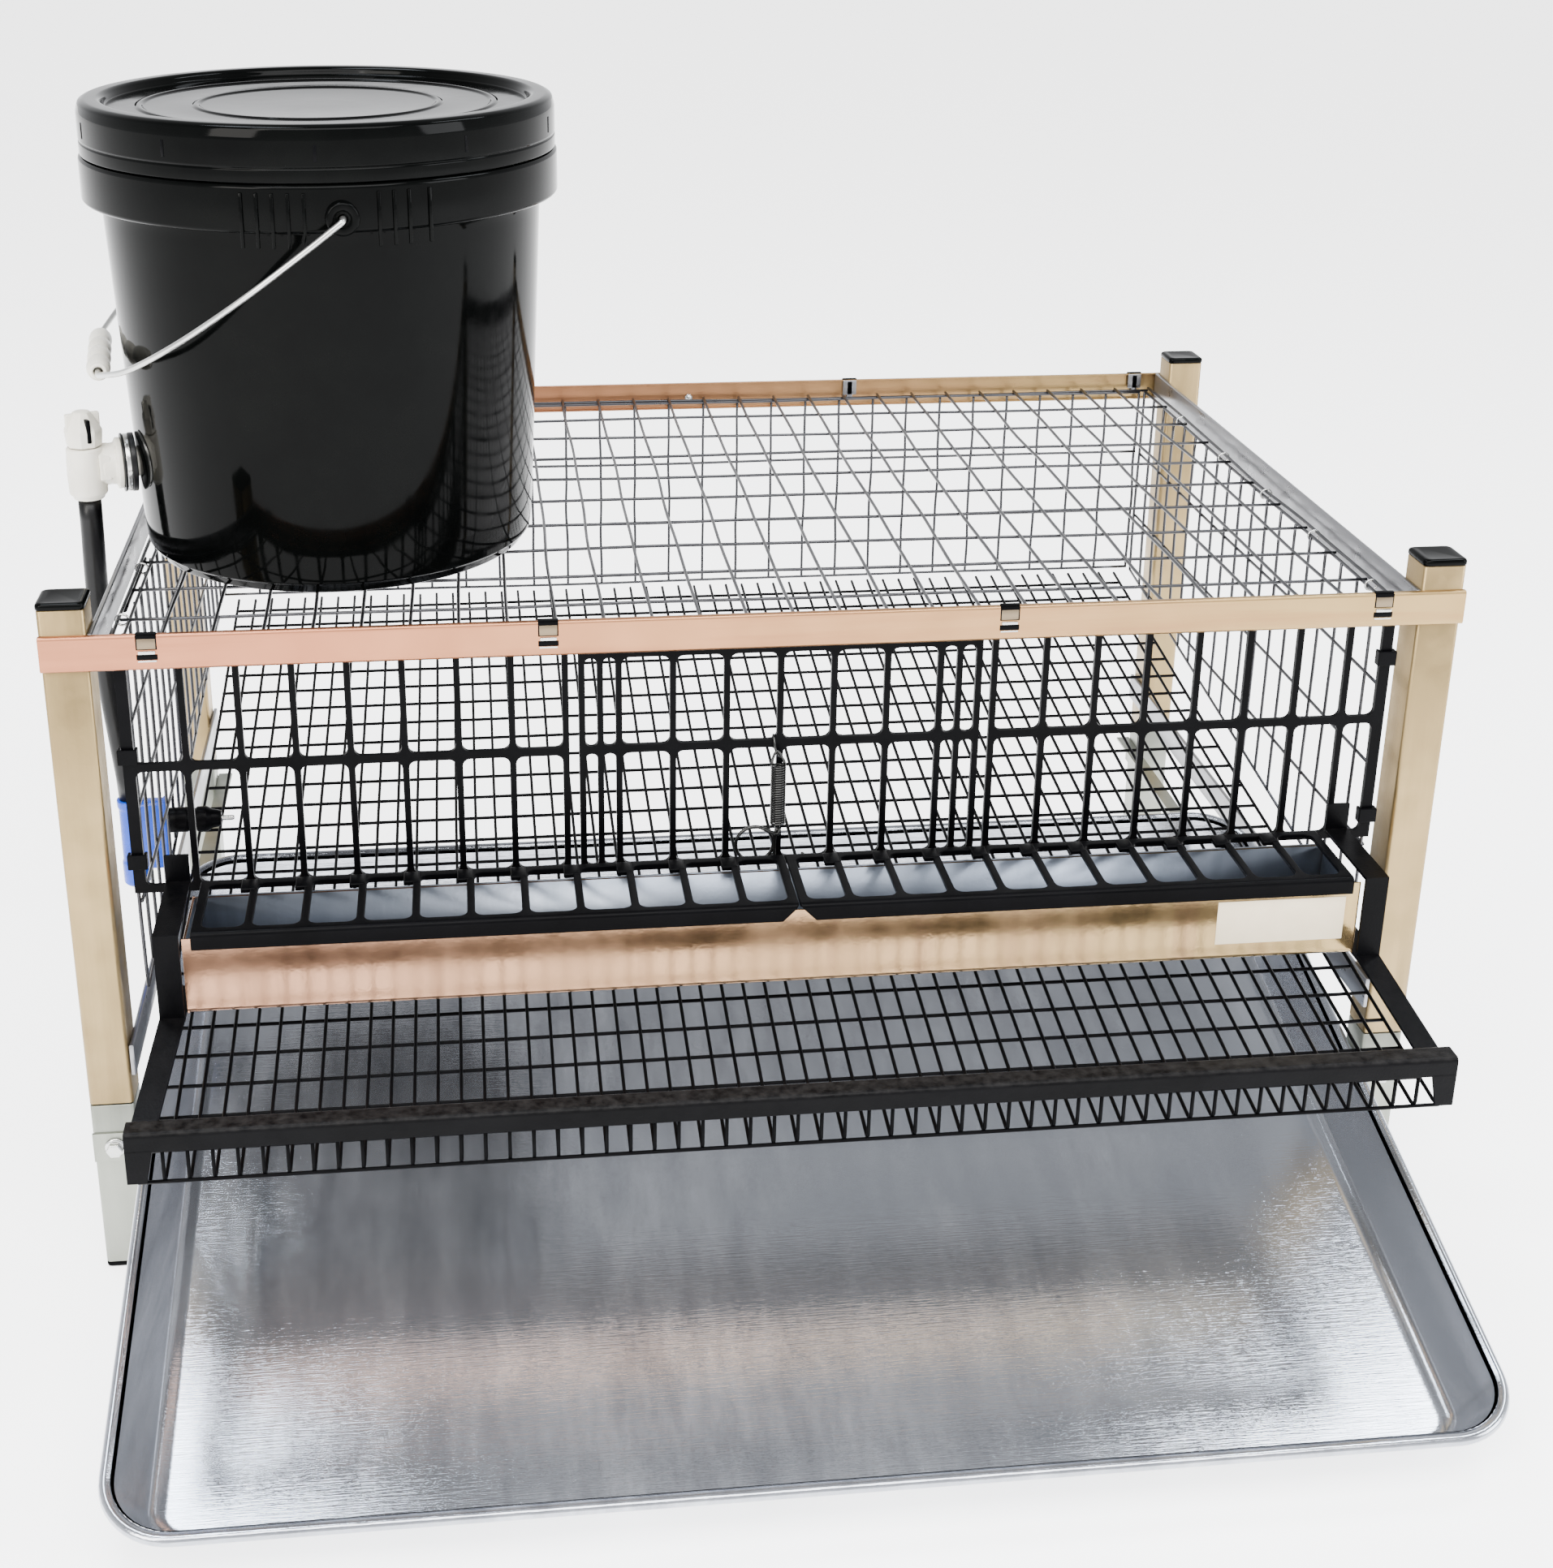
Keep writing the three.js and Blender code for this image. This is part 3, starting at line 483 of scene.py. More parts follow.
class Finish:
    """A material with a Principled shader and small verbs to colour, roughen and bump it."""

    def __init__(self, name, slot, metallic=0.0, specular=0.5):
        self.material = bpy.data.materials.new(name)
        self.material.use_nodes = True
        self.tree = self.material.node_tree
        self.shader = self.tree.nodes["Principled BSDF"]
        self.shader.inputs["Metallic"].default_value = metallic
        self.shader.inputs["Specular IOR Level"].default_value = specular
        self.colour = None
        MATERIALS[name] = (self.material, slot)

    def effect(self, group, output, **values):
        """Places a shared effect with its own values and returns the output socket."""
        node = self.tree.nodes.new("ShaderNodeGroup")
        node.node_tree = GROUPS[group]
        for label, value in values.items():
            node.inputs[label].default_value = value
        return node.outputs[output]

    def tones(self, mask, light, dark):
        """Base colour runs from dark to light with the mask."""
        ramp = self.tree.nodes.new("ShaderNodeMix")
        ramp.data_type = "RGBA"
        ramp.inputs[MIX_UNDER].default_value = (*dark, 1)
        ramp.inputs[MIX_OVER].default_value = (*light, 1)
        self.tree.links.new(mask, ramp.inputs[MIX_MASK])
        self.colour = ramp.outputs[MIX_RESULT]
        return self

    def over(self, mask, tone):
        """Lays one more tone over the colour so far, where the mask is high."""
        layer = self.tree.nodes.new("ShaderNodeMix")
        layer.data_type = "RGBA"
        self.tree.links.new(self.colour, layer.inputs[MIX_UNDER])
        layer.inputs[MIX_OVER].default_value = (*tone, 1)
        self.tree.links.new(mask, layer.inputs[MIX_MASK])
        self.colour = layer.outputs[MIX_RESULT]
        return self

    def roughen(self, mask, smooth, rough):
        spread_node = self.tree.nodes.new("ShaderNodeMapRange")
        spread_node.inputs["To Min"].default_value = smooth
        spread_node.inputs["To Max"].default_value = rough
        self.tree.links.new(mask, spread_node.inputs["Value"])
        self.tree.links.new(spread_node.outputs["Result"], self.shader.inputs["Roughness"])
        return self

    def bump(self, scale, strength):
        self.tree.links.new(self.effect("grain", "Normal", Scale=scale, Strength=strength),
                            self.shader.inputs["Normal"])
        return self

    def rolled(self, streaks, scale, strength):
        """Fine rolling lines that stretch every reflection across them and keep it sharp along them."""
        bump = self.tree.nodes.new("ShaderNodeBump")
        bump.inputs["Strength"].default_value = strength
        bump.inputs["Distance"].default_value = ROLLING_DEPTH
        self.tree.links.new(self.effect(streaks, "Mask", Scale=scale), bump.inputs["Height"])
        self.tree.links.new(bump.outputs["Normal"], self.shader.inputs["Normal"])
        return self

    def finish(self):
        self.tree.links.new(self.colour, self.shader.inputs["Base Color"])
        return self.material


# %% [markdown]
# Galvanised sheet is a mirror that has gone a little milky: a metal with a low but uneven roughness, warm
# and cool patches, and faint rolling streaks along each bar. The wire is the same zinc, duller. The pan is
# bright rolled aluminium, cooler than the posts.

# %% Metals
def galvanised(name, slot, light, dark, streaks, smooth, rough):
    finish = Finish(name, slot, metallic=0.92)
    finish.tones(finish.effect(streaks, "Mask", Scale=70.0), light, dark)
    finish.over(finish.effect("clouds", "Mask", Scale=9.0), [0.5 * (a + b) for a, b in zip(light, dark)])
    finish.roughen(finish.effect("clouds", "Mask", Scale=45.0), smooth, rough)
    finish.bump(420.0, 0.1)
    finish.finish()


METALS = (
    ("warm_post", "galvanised_steel", (0.37, 0.265, 0.125), (0.22, 0.155, 0.072), "streaks_z", 0.3, 0.5),
    ("pale_leg", "galvanised_steel", (0.30, 0.31, 0.27), (0.20, 0.21, 0.18), "streaks_z", 0.3, 0.45),
    ("grey_rail", "galvanised_steel", (0.30, 0.30, 0.31), (0.15, 0.15, 0.16), "streaks_y", 0.25, 0.4),
    ("zinc_wire", "galvanised_wire", (0.08, 0.08, 0.085), (0.025, 0.025, 0.028), "streaks_x", 0.25, 0.4),
    # The trough's inside finish is darker and bluer than its sheet: painted shade inside the trough.
    ("trough_inside_shade", "galvanised_steel", (0.17, 0.19, 0.23), (0.12, 0.14, 0.17), "streaks_z", 0.3, 0.4),
    ("coil_wire", "bright_wire", (0.05, 0.05, 0.048), (0.016, 0.016, 0.016), "streaks_x", 0.12, 0.25),
    ("bright_wire", "bright_wire", (0.62, 0.62, 0.60), (0.40, 0.40, 0.39), "streaks_x", 0.12, 0.25),
    # The tongue recess finish is a darker copy of the rail's warm tone: painted shade in the lanced tongues.
    ("tongue_recess_shade", "galvanised_steel", (0.22, 0.17, 0.11), (0.10, 0.075, 0.05), "streaks_x", 0.3, 0.4),
)
for recipe in METALS:
    galvanised(*recipe)


# %% [markdown]
# The front and rear rails and the trough are one batch of sheet whose tone drifts along its length, from
# copper pink on the left to straw yellow on the right. A slow ramp over X on Object coordinates gives that drift.
# The inside of the trough lies in shade, and a darker blue-grey finish paints that shade.

# %% Sheet that drifts from pink to straw
def drifting_sheet(name, pink, straw, streaks, smooth, rough):
    finish = Finish(name, "galvanised_steel", metallic=0.95)
    coordinates = finish.tree.nodes.new("ShaderNodeTexCoord")
    split = finish.tree.nodes.new("ShaderNodeSeparateXYZ")
    finish.tree.links.new(coordinates.outputs["Object"], split.inputs["Vector"])
    finish.tones(contrast(finish.tree, split.outputs["X"], -0.25, 0.3), straw, pink)
    finish.over(contrast(finish.tree, finish.effect(streaks, "Mask", Scale=60.0), 0.45, 1.6),
                [0.55 * tone for tone in pink])
    finish.roughen(finish.effect("clouds", "Mask", Scale=30.0), smooth, rough)
    finish.bump(300.0, 0.05)
    return finish.finish()


drifting_sheet("warm_rail", (0.40, 0.16, 0.085), (0.33, 0.22, 0.095), "streaks_x", 0.28, 0.42)
drifting_sheet("trough_sheet", (0.35, 0.19, 0.115), (0.31, 0.22, 0.10), "streaks_z", 0.10, 0.18)


# %% [markdown]
# The pan's sheet was rolled from side to side, and very fine ridges run that way. What the pan mirrors is
# smeared from front to rear and stays sharp from side to side, which the bump alone gives.

# %% Pan metal
def pan_sheet():
    finish = Finish("pan_sheet", "pan_aluminium", metallic=0.85)
    finish.tones(finish.effect("streaks_y", "Mask", Scale=45.0), (0.54, 0.56, 0.61), (0.24, 0.25, 0.28))
    finish.over(finish.effect("clouds", "Mask", Scale=4.0), (0.34, 0.36, 0.40))
    finish.roughen(finish.effect("streaks_y", "Mask", Scale=90.0), 0.05, 0.11)
    finish.rolled("streaks_x", 1100.0, 0.3)
    return finish.finish()


pan_sheet()


# %% [markdown]
# The blacks differ mostly in gloss: the bucket is nearly a mirror, the mouldings of the front are satin with
# a fine grain, and the top of the tray channel carries dust. A black part only looks black when its surface
# mirrors little of a bright room, so their specular level is low.

# %% Blacks, whites and blue
def plastic(name, slot, light, dark, smooth, rough, grain, strength, dust=0.0, specular=0.5):
    finish = Finish(name, slot, specular=specular)
    finish.tones(finish.effect("clouds", "Mask", Scale=30.0), light, dark)
    if dust:
        finish.over(finish.effect("dust", "Mask", Amount=dust), (0.036, 0.034, 0.033))
    finish.roughen(finish.effect("clouds", "Mask", Scale=80.0), smooth, rough)
    finish.bump(grain, strength)
    return finish.finish()


SATIN_BLACK = ((0.0014, 0.0014, 0.0018), (0.0007, 0.0007, 0.0009))
plastic("black_moulding", "black_plastic", *SATIN_BLACK, 0.3, 0.42, 1500.0, 0.08, specular=0.035)
plastic("coated_floor_wire", "coated_wire", *SATIN_BLACK, 0.3, 0.5, 900.0, 0.12, specular=0.035)
plastic("bracket_steel", "black_steel", *SATIN_BLACK, 0.28, 0.4, 700.0, 0.12, dust=0.06, specular=0.04)
plastic("dusty_black_steel", "black_steel", *SATIN_BLACK, 0.35, 0.5, 700.0, 0.2, dust=0.45, specular=0.05)
plastic("gloss_black", "gloss_black_plastic", (0.0012, 0.0014, 0.0013), (0.0006, 0.0007, 0.0007), 0.05, 0.11,
        40.0, 0.05,
        specular=0.04)
plastic("hose_rubber", "black_rubber", *SATIN_BLACK, 0.3, 0.42, 800.0, 0.08, specular=0.2)
plastic("creamy_white", "white_plastic", (0.74, 0.71, 0.63), (0.60, 0.57, 0.49), 0.25, 0.4, 700.0, 0.08)
plastic("drinker_blue", "blue_plastic", (0.008, 0.06, 0.50), (0.004, 0.035, 0.30), 0.2, 0.32, 700.0, 0.08,
        specular=0.3)
plastic("blank_label", "white_plastic", (0.70, 0.60, 0.44), (0.62, 0.52, 0.37), 0.4, 0.5, 500.0, 0.04,
        specular=0.2)
print("finishes:", sorted(MATERIALS))

# %% [markdown]
# ## The hose
#
# The drinker hangs on a short hose that the bucket's valve and the drinker hold at both ends. It is about
# 200 mm of soft black tube, so it keeps nearly a straight line with a slight bow. The route is the frame's
# own: straight out of the valve, down, and straight into the drinker.

# %% Hose
HOSE_DIAMETER = 13.5
HOSE_ROUTE = np.array([
    [-392.9, -95, 436.7], [-393, -95, 424], [-393.2, -95, 411], [-393.5, -95.1, 398], [-393.7, -95.2, 385],
    [-393.8, -95.3, 372], [-393.7, -95.5, 359], [-393.4, -95.7, 346], [-392.9, -95.9, 333], [-392.2, -96.1, 320],
    [-391.3, -96.3, 307], [-390.2, -96.5, 294], [-389, -96.7, 281], [-387.8, -96.9, 268], [-386.7, -97, 255],
    [-386, -97, 240],
])
hose = make_piece("hose_tube", [tube(HOSE_ROUTE, HOSE_DIAMETER / 2, 28, reference=(1, 0, 0))], "hose_rubber",
                  stands_for=["hose"])

# %% [markdown]
# ## Posts, legs, caps and feet
#
# Each corner is a square tube with softly rounded corners, standing on a leg of the same tube that plugs
# into it; the seam between them shows as a dark line. A stack of rounded rectangles that goes up the outside
# and down the inside makes the tube. The caps and feet are solid mouldings with a rounded upper edge.

# %% Corner pieces
TUBE = 25.4
WALL = 1.4
TUBE_CORNER = 2.4


def square_tube(low, high, wall=WALL):
    """Outer wall up, inner wall down, joined at both ends."""
    half = TUBE / 2
    edge = 0.35
    outside = [(half - edge, half - edge, TUBE_CORNER - edge, low), (half, half, TUBE_CORNER, low + edge),
               (half, half, TUBE_CORNER, high - edge), (half - edge, half - edge, TUBE_CORNER - edge, high)]
    inside = [(half - wall, half - wall, TUBE_CORNER - 1, high),
              (half - wall, half - wall, TUBE_CORNER - 1, low)]
    return stack(outside + inside, closed=True)


def cap_moulding(low, high, plug_low):
    """A plug, a plate that overhangs the tube, and a top with a wide soft edge."""
    half = TUBE / 2 + 0.5
    plug = TUBE / 2 - 1.9
    return stack([
        (plug, plug, 1.5, plug_low), (plug, plug, 1.5, low + 0.2), (half - 0.4, half - 0.4, 3.0, low + 0.2),
        (half, half, 3.4, low + 0.7), (half, half, 3.4, high - 1.5),
        (half - 0.4, half - 0.4, 3.3, high - 0.6),
        (half - 1.3, half - 1.3, 3.0, high - 0.1), (half - 2.6, half - 2.6, 2.6, high),
        (half - 4.2, half - 4.2, 2.2, high - 0.25)], arc=6)


for corner in CORNERS:
    post_low, post_high = cad(f"post_{corner}")
    leg_low, leg_high = cad(f"leg_{corner}")
    cap_low, cap_high = cad(f"cap_{corner}")
    foot_high = cad(f"foot_{corner}")[1]
    middle = [(post_low[0] + post_high[0]) / 2, (post_low[1] + post_high[1]) / 2, 0]
    seam = post_low[2]
    make_piece(f"corner_post_{corner}", [moved(square_tube(seam, post_high[2]), middle)], "warm_post",
               stands_for=[f"post_{corner}"])
    spigot = stack([(11.2, 11.2, 1.5, seam - 8), (11.2, 11.2, 1.5, leg_high[2]), (9.7, 9.7, 1, leg_high[2]),
                    (9.7, 9.7, 1, seam - 8)], closed=True)
    make_piece(f"corner_leg_{corner}", [moved(square_tube(leg_low[2], seam - 1), middle),
                                        moved(spigot, middle)],
               "pale_leg", stands_for=[f"leg_{corner}"])
    make_piece(f"end_cap_{corner}",
               [moved(cap_moulding(post_high[2] + 0.1, cap_high[2], cap_low[2]), middle)],
               "gloss_black", stands_for=[f"cap_{corner}"])
    half = TUBE / 2
    foot = stack([(half - 1.2, half - 1.2, 2, 0), (half - 0.2, half - 0.2, 2.4, 1), (half, half, 2.4, 2),
                  (half, half, 2.4, 3.6), (10.4, 10.4, 1.5, 3.6), (10.4, 10.4, 1.5, foot_high[2])])
    make_piece(f"foot_plug_{corner}", [moved(foot, middle)], "black_moulding", stands_for=[f"foot_{corner}"])
print("post seam at", seam, "post top at", post_high[2])

# %% [markdown]
# ## Rails
#
# The front and rear rails are shallow folded channels, so their upper edges catch the light. Four tongues
# are lanced out of each and folded over the roof's edge wire; from the front each shows as a dark notch with
# a small bright lip below it. The notch's dark is painted shade, black blocks and a darker warm block on the
# rail's face, and the lip's brightness is a painted highlight, a thin block in the bright wire finish. The
# side rails are plain strips inside the posts.

# %% Rails and lanced tongues
FRONT_TONGUES = (-343, -127, 132, 351)
REAR_TONGUES = (-343, -127, 128, 355)


def on_face(face, facing, x, half_x, low, high, proud):
    """A thin block on a rail's face, centred on x, that stands proud of it."""
    return block([x - half_x, face - facing * 0.4, low], [x + half_x, face + facing * proud, high], 0.9)


def cross_rail(name, node, facing, tongues):
    low, high = cad(node)
    outer = low[1] if facing < 0 else high[1]
    inner = high[1] if facing < 0 else low[1]
    sheet = 1.2
    face = outer - facing * sheet / 2
    line = fillet([[inner, high[2] - sheet / 2], [face, high[2] - sheet / 2], [face, low[2] + sheet / 2],
                   [inner, low[2] + sheet / 2]], 1.4, 5)
    crisp(make_piece(name, [carried(folded(line, sheet), low[0], high[0])], "warm_rail", stands_for=[node]),
          0.25)
    top = high[2]
    dark, recess_shade, bright = [], [], []
    for x in tongues:
        # Painted shade: black blocks stand for the shade in each tongue's opening at the rail's top edge and in
        # the slot below it.
        dark.append(on_face(outer, facing, x, 5.6, top - 8.6, top - 0.2, 0.12))
        dark.append(block([x - 5.6, outer - facing * 0.6, top - 1],
                          [x + 5.6, outer - facing * 3.2, top + 0.9], 0.4))
        dark.append(on_face(outer, facing, x, 5.6, top - 14.4, top - 11.2, 0.15))
        # Painted shade: a darker copy of the rail's warm tone fills the recess of each tongue.
        recess_shade.append(on_face(outer, facing, x, 4.9, top - 8.1, top - 2.2, 0.3))
        # Painted highlight: thin blocks in the bright wire finish stand for the light on each tongue's lip.
        bright.append(on_face(outer, facing, x, 4.6, top - 11.0, top - 9.2, 1.0))
        bright.append(on_face(outer, facing, x, 5.0, top - 15.6, top - 14.6, 0.4))
    make_piece(f"{name}_slots", dark, "black_moulding")
    make_piece(f"{name}_tongues", recess_shade, "tongue_recess_shade")
    make_piece(f"{name}_lip_highlights", bright, "bright_wire")


cross_rail("front_rail", "rail_front", -1, FRONT_TONGUES)
cross_rail("rear_rail", "rail_rear", 1, REAR_TONGUES)

# %% [markdown]
# Inside the rear rail the same tongues show from the front, folded over the roof's edge wire, and one bright
# rivet head sits between them.

# %% Inside of the rear rail
rear_low, rear_high = cad("rail_rear")
folds = []
for x in REAR_TONGUES:
    for half_x, bottom in ((5.2, 11.5), (2.2, 14.5)):
        folds.append(block([x - half_x, rear_low[1] - 1.2, rear_high[2] - bottom],
                           [x + half_x, rear_low[1] + 0.8, rear_high[2] - 1.2 + 0.2 * half_x], 0.7))
make_piece("rear_rail_folds", folds, "grey_rail")
rivet = turned([(0.6, 0), (2.2, 0.2), (2.9, 1.0), (3.0, 1.8)][::-1], 20)
rivet_place = [2.7, rear_high[1] - 1.4, 396.7]
make_piece("rear_rail_rivet", [moved(rivet, rivet_place, turn_about("x", np.pi / 2))], "bright_wire")


# %% [markdown]
# The side rails are plain strips, so each is one block of its node's size. The runners keep the frame's own
# solids and only take a finish.

# %% Side rails and runners
def repaint(node, finish):
    """Gives a frame node a finish of this script's."""
    material, _ = MATERIALS[finish]
    NODES[node].data.materials.clear()
    NODES[node].data.materials.append(material)


def strip(name, node, finish):
    """A strip of the node's own size with rounded edges, in place of the node."""
    low, high = cad(node)
    make_piece(name, [block(low, high, 0.8)], finish, stands_for=[node])


for place in ("left", "right"):
    strip(f"side_rail_{place}", f"rail_{place}", "grey_rail")
    strip(f"lower_side_rail_{place}", f"lower_rail_{place}", "grey_rail")
    repaint(f"runner_{place}", "pale_leg")

# %% [markdown]
# The runners' screws have a hexagon head on a pressed washer.

# %% Screws
for place in ("left", "right"):
    low, high = cad(f"runner_screw_{place}")
    middle = (low + high) / 2
    head = turned([(4.6, 0), (4.9, 0.3), (4.9, 3.4), (4.2, 3.9)], 6)
    washer = turned([(6, -1), (6.2, -0.6), (5.6, 0), (4.5, 0.5)], 32)
    shank = turned([(2, -12), (2, -0.8)], 16)
    front = [middle[0], low[1] + 4, middle[2]]
    parts = [moved(part, front, turn_about("x", np.pi / 2)) for part in (head, washer, shank)]
    crisp(make_piece(f"hexagon_screw_{place}", parts, "bright_wire", stands_for=[f"runner_screw_{place}"]),
          0.2)

# %% [markdown]
# ## Wire panels
#
# The roof, rear and sides are welded wire of about 25 by 50 mm. Real panels of this size are never flat:
# each wire wanders by a millimetre or two, which is most of what makes them look like wire. Every panel is
# one call of `tube` per direction, with a smooth wander added to the straight lines: the sum of two slow
# sines whose phases differ from wire to wire.

# %% Welded panels
ZINC_RADIUS = 1.05
rng = np.random.default_rng(7)


def wires(fixed, ends, steps, wander):
    """Straight wires with a slow wander. fixed gives each wire's place across the panel; the result is
    (wires, steps, 3) as along, across, out-of-plane."""
    along = np.linspace(ends[0], ends[1], steps)
    fixed = np.asarray(fixed, dtype=float)
    phase = rng.uniform(0, 2 * np.pi, (4, len(fixed), 1))
    size = rng.uniform(0.4, 1.0, (2, len(fixed), 1)) * wander
    s = (along - ends[0]) / (ends[1] - ends[0]) * 2 * np.pi
    fade = np.sin(s / 2) ** 0.5
    sway = size[0] * (np.sin(1.5 * s + phase[0]) + 0.5 * np.sin(3.2 * s + phase[1])) * fade
    rise = size[1] * (np.sin(1.3 * s + phase[2]) + 0.4 * np.sin(4.1 * s + phase[3])) * fade * 0.6
    result = np.empty((len(fixed), steps, 3))
    result[..., 0] = along
    result[..., 1] = fixed[:, None] + sway
    result[..., 2] = rise
    return result


def panel(axes, place, span_a, span_b, pitch_a, pitch_b, wander=0.9, steps=28):
    """Two crossing families of wires. axes maps (a, b, out) to X, Y, Z columns; the second family lies one
    wire diameter behind the first."""
    count_a = int(round((span_a[1] - span_a[0]) / pitch_a))
    count_b = int(round((span_b[1] - span_b[0]) / pitch_b))
    along_b = wires(spread(*span_a, count_a), span_b, steps, wander)[..., [1, 0, 2]]
    along_a = wires(spread(*span_b, count_b), span_a, steps, wander)
    along_a[..., 2] -= 1.9 * ZINC_RADIUS
    parts = []
    for family in (along_b, along_a):
        paths = np.empty_like(family)
        paths[...] = np.asarray(place, dtype=float)
        paths[..., axes[0]] += family[..., 0]
        paths[..., axes[1]] += family[..., 1]
        paths[..., axes[2]] += family[..., 2]
        parts.append(tube(paths, ZINC_RADIUS, 6, reference=(0.31, 0.42, 0.85)))
    return parts


ROOF_LOW, ROOF_HIGH = cad("roof_panel")
ROOF_TOP = ROOF_HIGH[2]
WIRE_PITCH = 26.9
WIRE_PITCH_LONG = 50.8
inset = ZINC_RADIUS
roof_x, roof_y = [(ROOF_LOW[axis] + inset, ROOF_HIGH[axis] - inset) for axis in (0, 1)]
make_piece("roof_wires",
           panel((0, 1, 2), (0, 0, ROOF_TOP - 1.1), roof_x, roof_y, WIRE_PITCH, WIRE_PITCH_LONG, 1.0),
           "zinc_wire", stands_for=["roof_panel"])
rear_low, rear_high = cad("rear_panel")
make_piece("rear_wires", panel((0, 2, 1), (0, rear_high[1] - 1.1, 0), (rear_low[0] + 1, rear_high[0] - 1),
                               (rear_low[2] + 1, rear_high[2] - 1), WIRE_PITCH, WIRE_PITCH_LONG, 0.5),
           "zinc_wire", stands_for=["rear_panel"])

# %% [markdown]
# The side panels are cut to the slope of the floor, so their upright wires shorten towards the rear. The
# level wires stop where the floor's line meets them.

# %% Side panels
FLOOR_LOW, FLOOR_HIGH = cad("floor_panel")
LIP_LOW, LIP_HIGH = cad("floor_lip")
FLOOR_Y = (LIP_HIGH[1] + LIP_LOW[1]) / 2
FLOOR_Z = LIP_LOW[2] + 1.2
FLOOR_SLOPE = (FLOOR_HIGH[2] - 1.2 - FLOOR_Z) / (FLOOR_HIGH[1] - FLOOR_Y)


def floor_height(y):
    return FLOOR_Z + FLOOR_SLOPE * (np.asarray(y) - FLOOR_Y)


def side_panel(place):
    low, high = cad(f"side_panel_{place}")
    x = (low[0] + high[0]) / 2
    y = spread(low[1] + 1.2, high[1] - 1.2, 19)
    steps = 14
    t = np.linspace(0, 1, steps)[None]
    bottom = floor_height(y)[:, None] + 1.5
    paths = np.empty((len(y), steps, 3))
    paths[..., 0] = x + 0.5 * np.sin(5 * t + y[:, None])
    paths[..., 1] = y[:, None] + 0.5 * np.sin(4 * t + 1.7 * y[:, None])
    paths[..., 2] = bottom + (high[2] - 0.8 - bottom) * t
    parts = [tube(paths, ZINC_RADIUS, 6, reference=(0, 1, 0))]
    for z in high[2] - 1.1 - WIRE_PITCH_LONG * np.arange(5):
        reach = np.clip((z - FLOOR_Z) / FLOOR_SLOPE + FLOOR_Y, low[1], high[1] - 1)
        if reach - low[1] < 60:
            continue
        line = np.stack([np.full(20, x + 1.0), np.linspace(low[1] + 0.8, reach, 20), np.full(20, z)], axis=-1)
        line[:, 2] += 0.5 * np.sin(np.linspace(0, 9, 20) + z)
        parts.append(tube(line, ZINC_RADIUS, 6))
    slant = np.stack([np.full(2, x), np.array([low[1] + 0.8, high[1] - 1]),
                      floor_height([low[1] + 0.8, high[1] - 1]) + 1.2], axis=-1)
    parts.append(tube(slant, ZINC_RADIUS, 6))
    make_piece(f"side_wires_{place}", parts, "zinc_wire", stands_for=[f"side_panel_{place}"])


side_panel("left")
side_panel("right")

# %% [markdown]
# ## Floor
#
# The floor is finer: 12.7 by 25.4 mm, coated black. It slopes gently to the front so that eggs roll out,
# and its front edge is bent up into the tray channel. The lengthways wires are one polyline each that runs
# down the slope and turns up at the lip; the cross wires lie under them.

# %% Floor mesh
FLOOR_RADIUS = 1.05
FLOOR_PITCH = 12.7
FLOOR_PITCH_LONG = 25.4
floor_x = spread(FLOOR_LOW[0] + 1.2, FLOOR_HIGH[0] - 1.2,
                 int(round((FLOOR_HIGH[0] - FLOOR_LOW[0]) / FLOOR_PITCH)))
lip_line = fillet([[FLOOR_HIGH[1], floor_height(FLOOR_HIGH[1])], [FLOOR_Y, FLOOR_Z],
                   [FLOOR_Y, LIP_HIGH[2] - 1]], 3, 4)
rear_part = np.linspace(lip_line[0], lip_line[1], 24, endpoint=False)
floor_line = np.concatenate([rear_part, lip_line[1:]])
lengthways = np.empty((len(floor_x), len(floor_line), 3))
lengthways[..., 0] = floor_x[:, None]
lengthways[..., 1:] = floor_line
drift = np.linspace(0, 2 * np.pi, len(floor_line))[None]
lengthways[..., 0] += 0.35 * np.sin(2 * drift + floor_x[:, None])
lengthways[..., 2] += 0.25 * np.sin(3 * drift + 0.7 * floor_x[:, None])
cross_y = FLOOR_Y + np.arange(1, 26) * FLOOR_PITCH_LONG * np.cos(np.arctan(FLOOR_SLOPE))
cross = np.empty((len(cross_y), 30, 3))
cross[..., 0] = np.linspace(FLOOR_LOW[0], FLOOR_HIGH[0], 30)
cross[..., 1] = cross_y[:, None] + 0.4 * np.sin(np.linspace(0, 8, 30)[None] + cross_y[:, None])
cross[..., 2] = floor_height(cross[..., 1]) - 1.9 * FLOOR_RADIUS + 0.4
lip_wire = np.stack([np.linspace(FLOOR_LOW[0], FLOOR_HIGH[0], 30), np.full(30, FLOOR_Y - 0.3),
                     np.full(30, FLOOR_Z)], axis=-1)
make_piece("floor_mesh", [tube(lengthways, FLOOR_RADIUS, 6, reference=(1, 0, 0)),
                          tube(cross, FLOOR_RADIUS, 6),
                          tube(lip_wire, FLOOR_RADIUS, 6)],
           "coated_floor_wire", stands_for=["floor_panel", "floor_lip"])
print("floor wires:", len(floor_x), "lengthways,", len(cross_y), "across, slope",
      round(float(FLOOR_SLOPE), 4))

# %% [markdown]
# ## Rings that tie the panels
#
# Small wire rings, closed with pliers, tie the roof to the side panels. Each is a little ring that goes
# round the two edge wires.

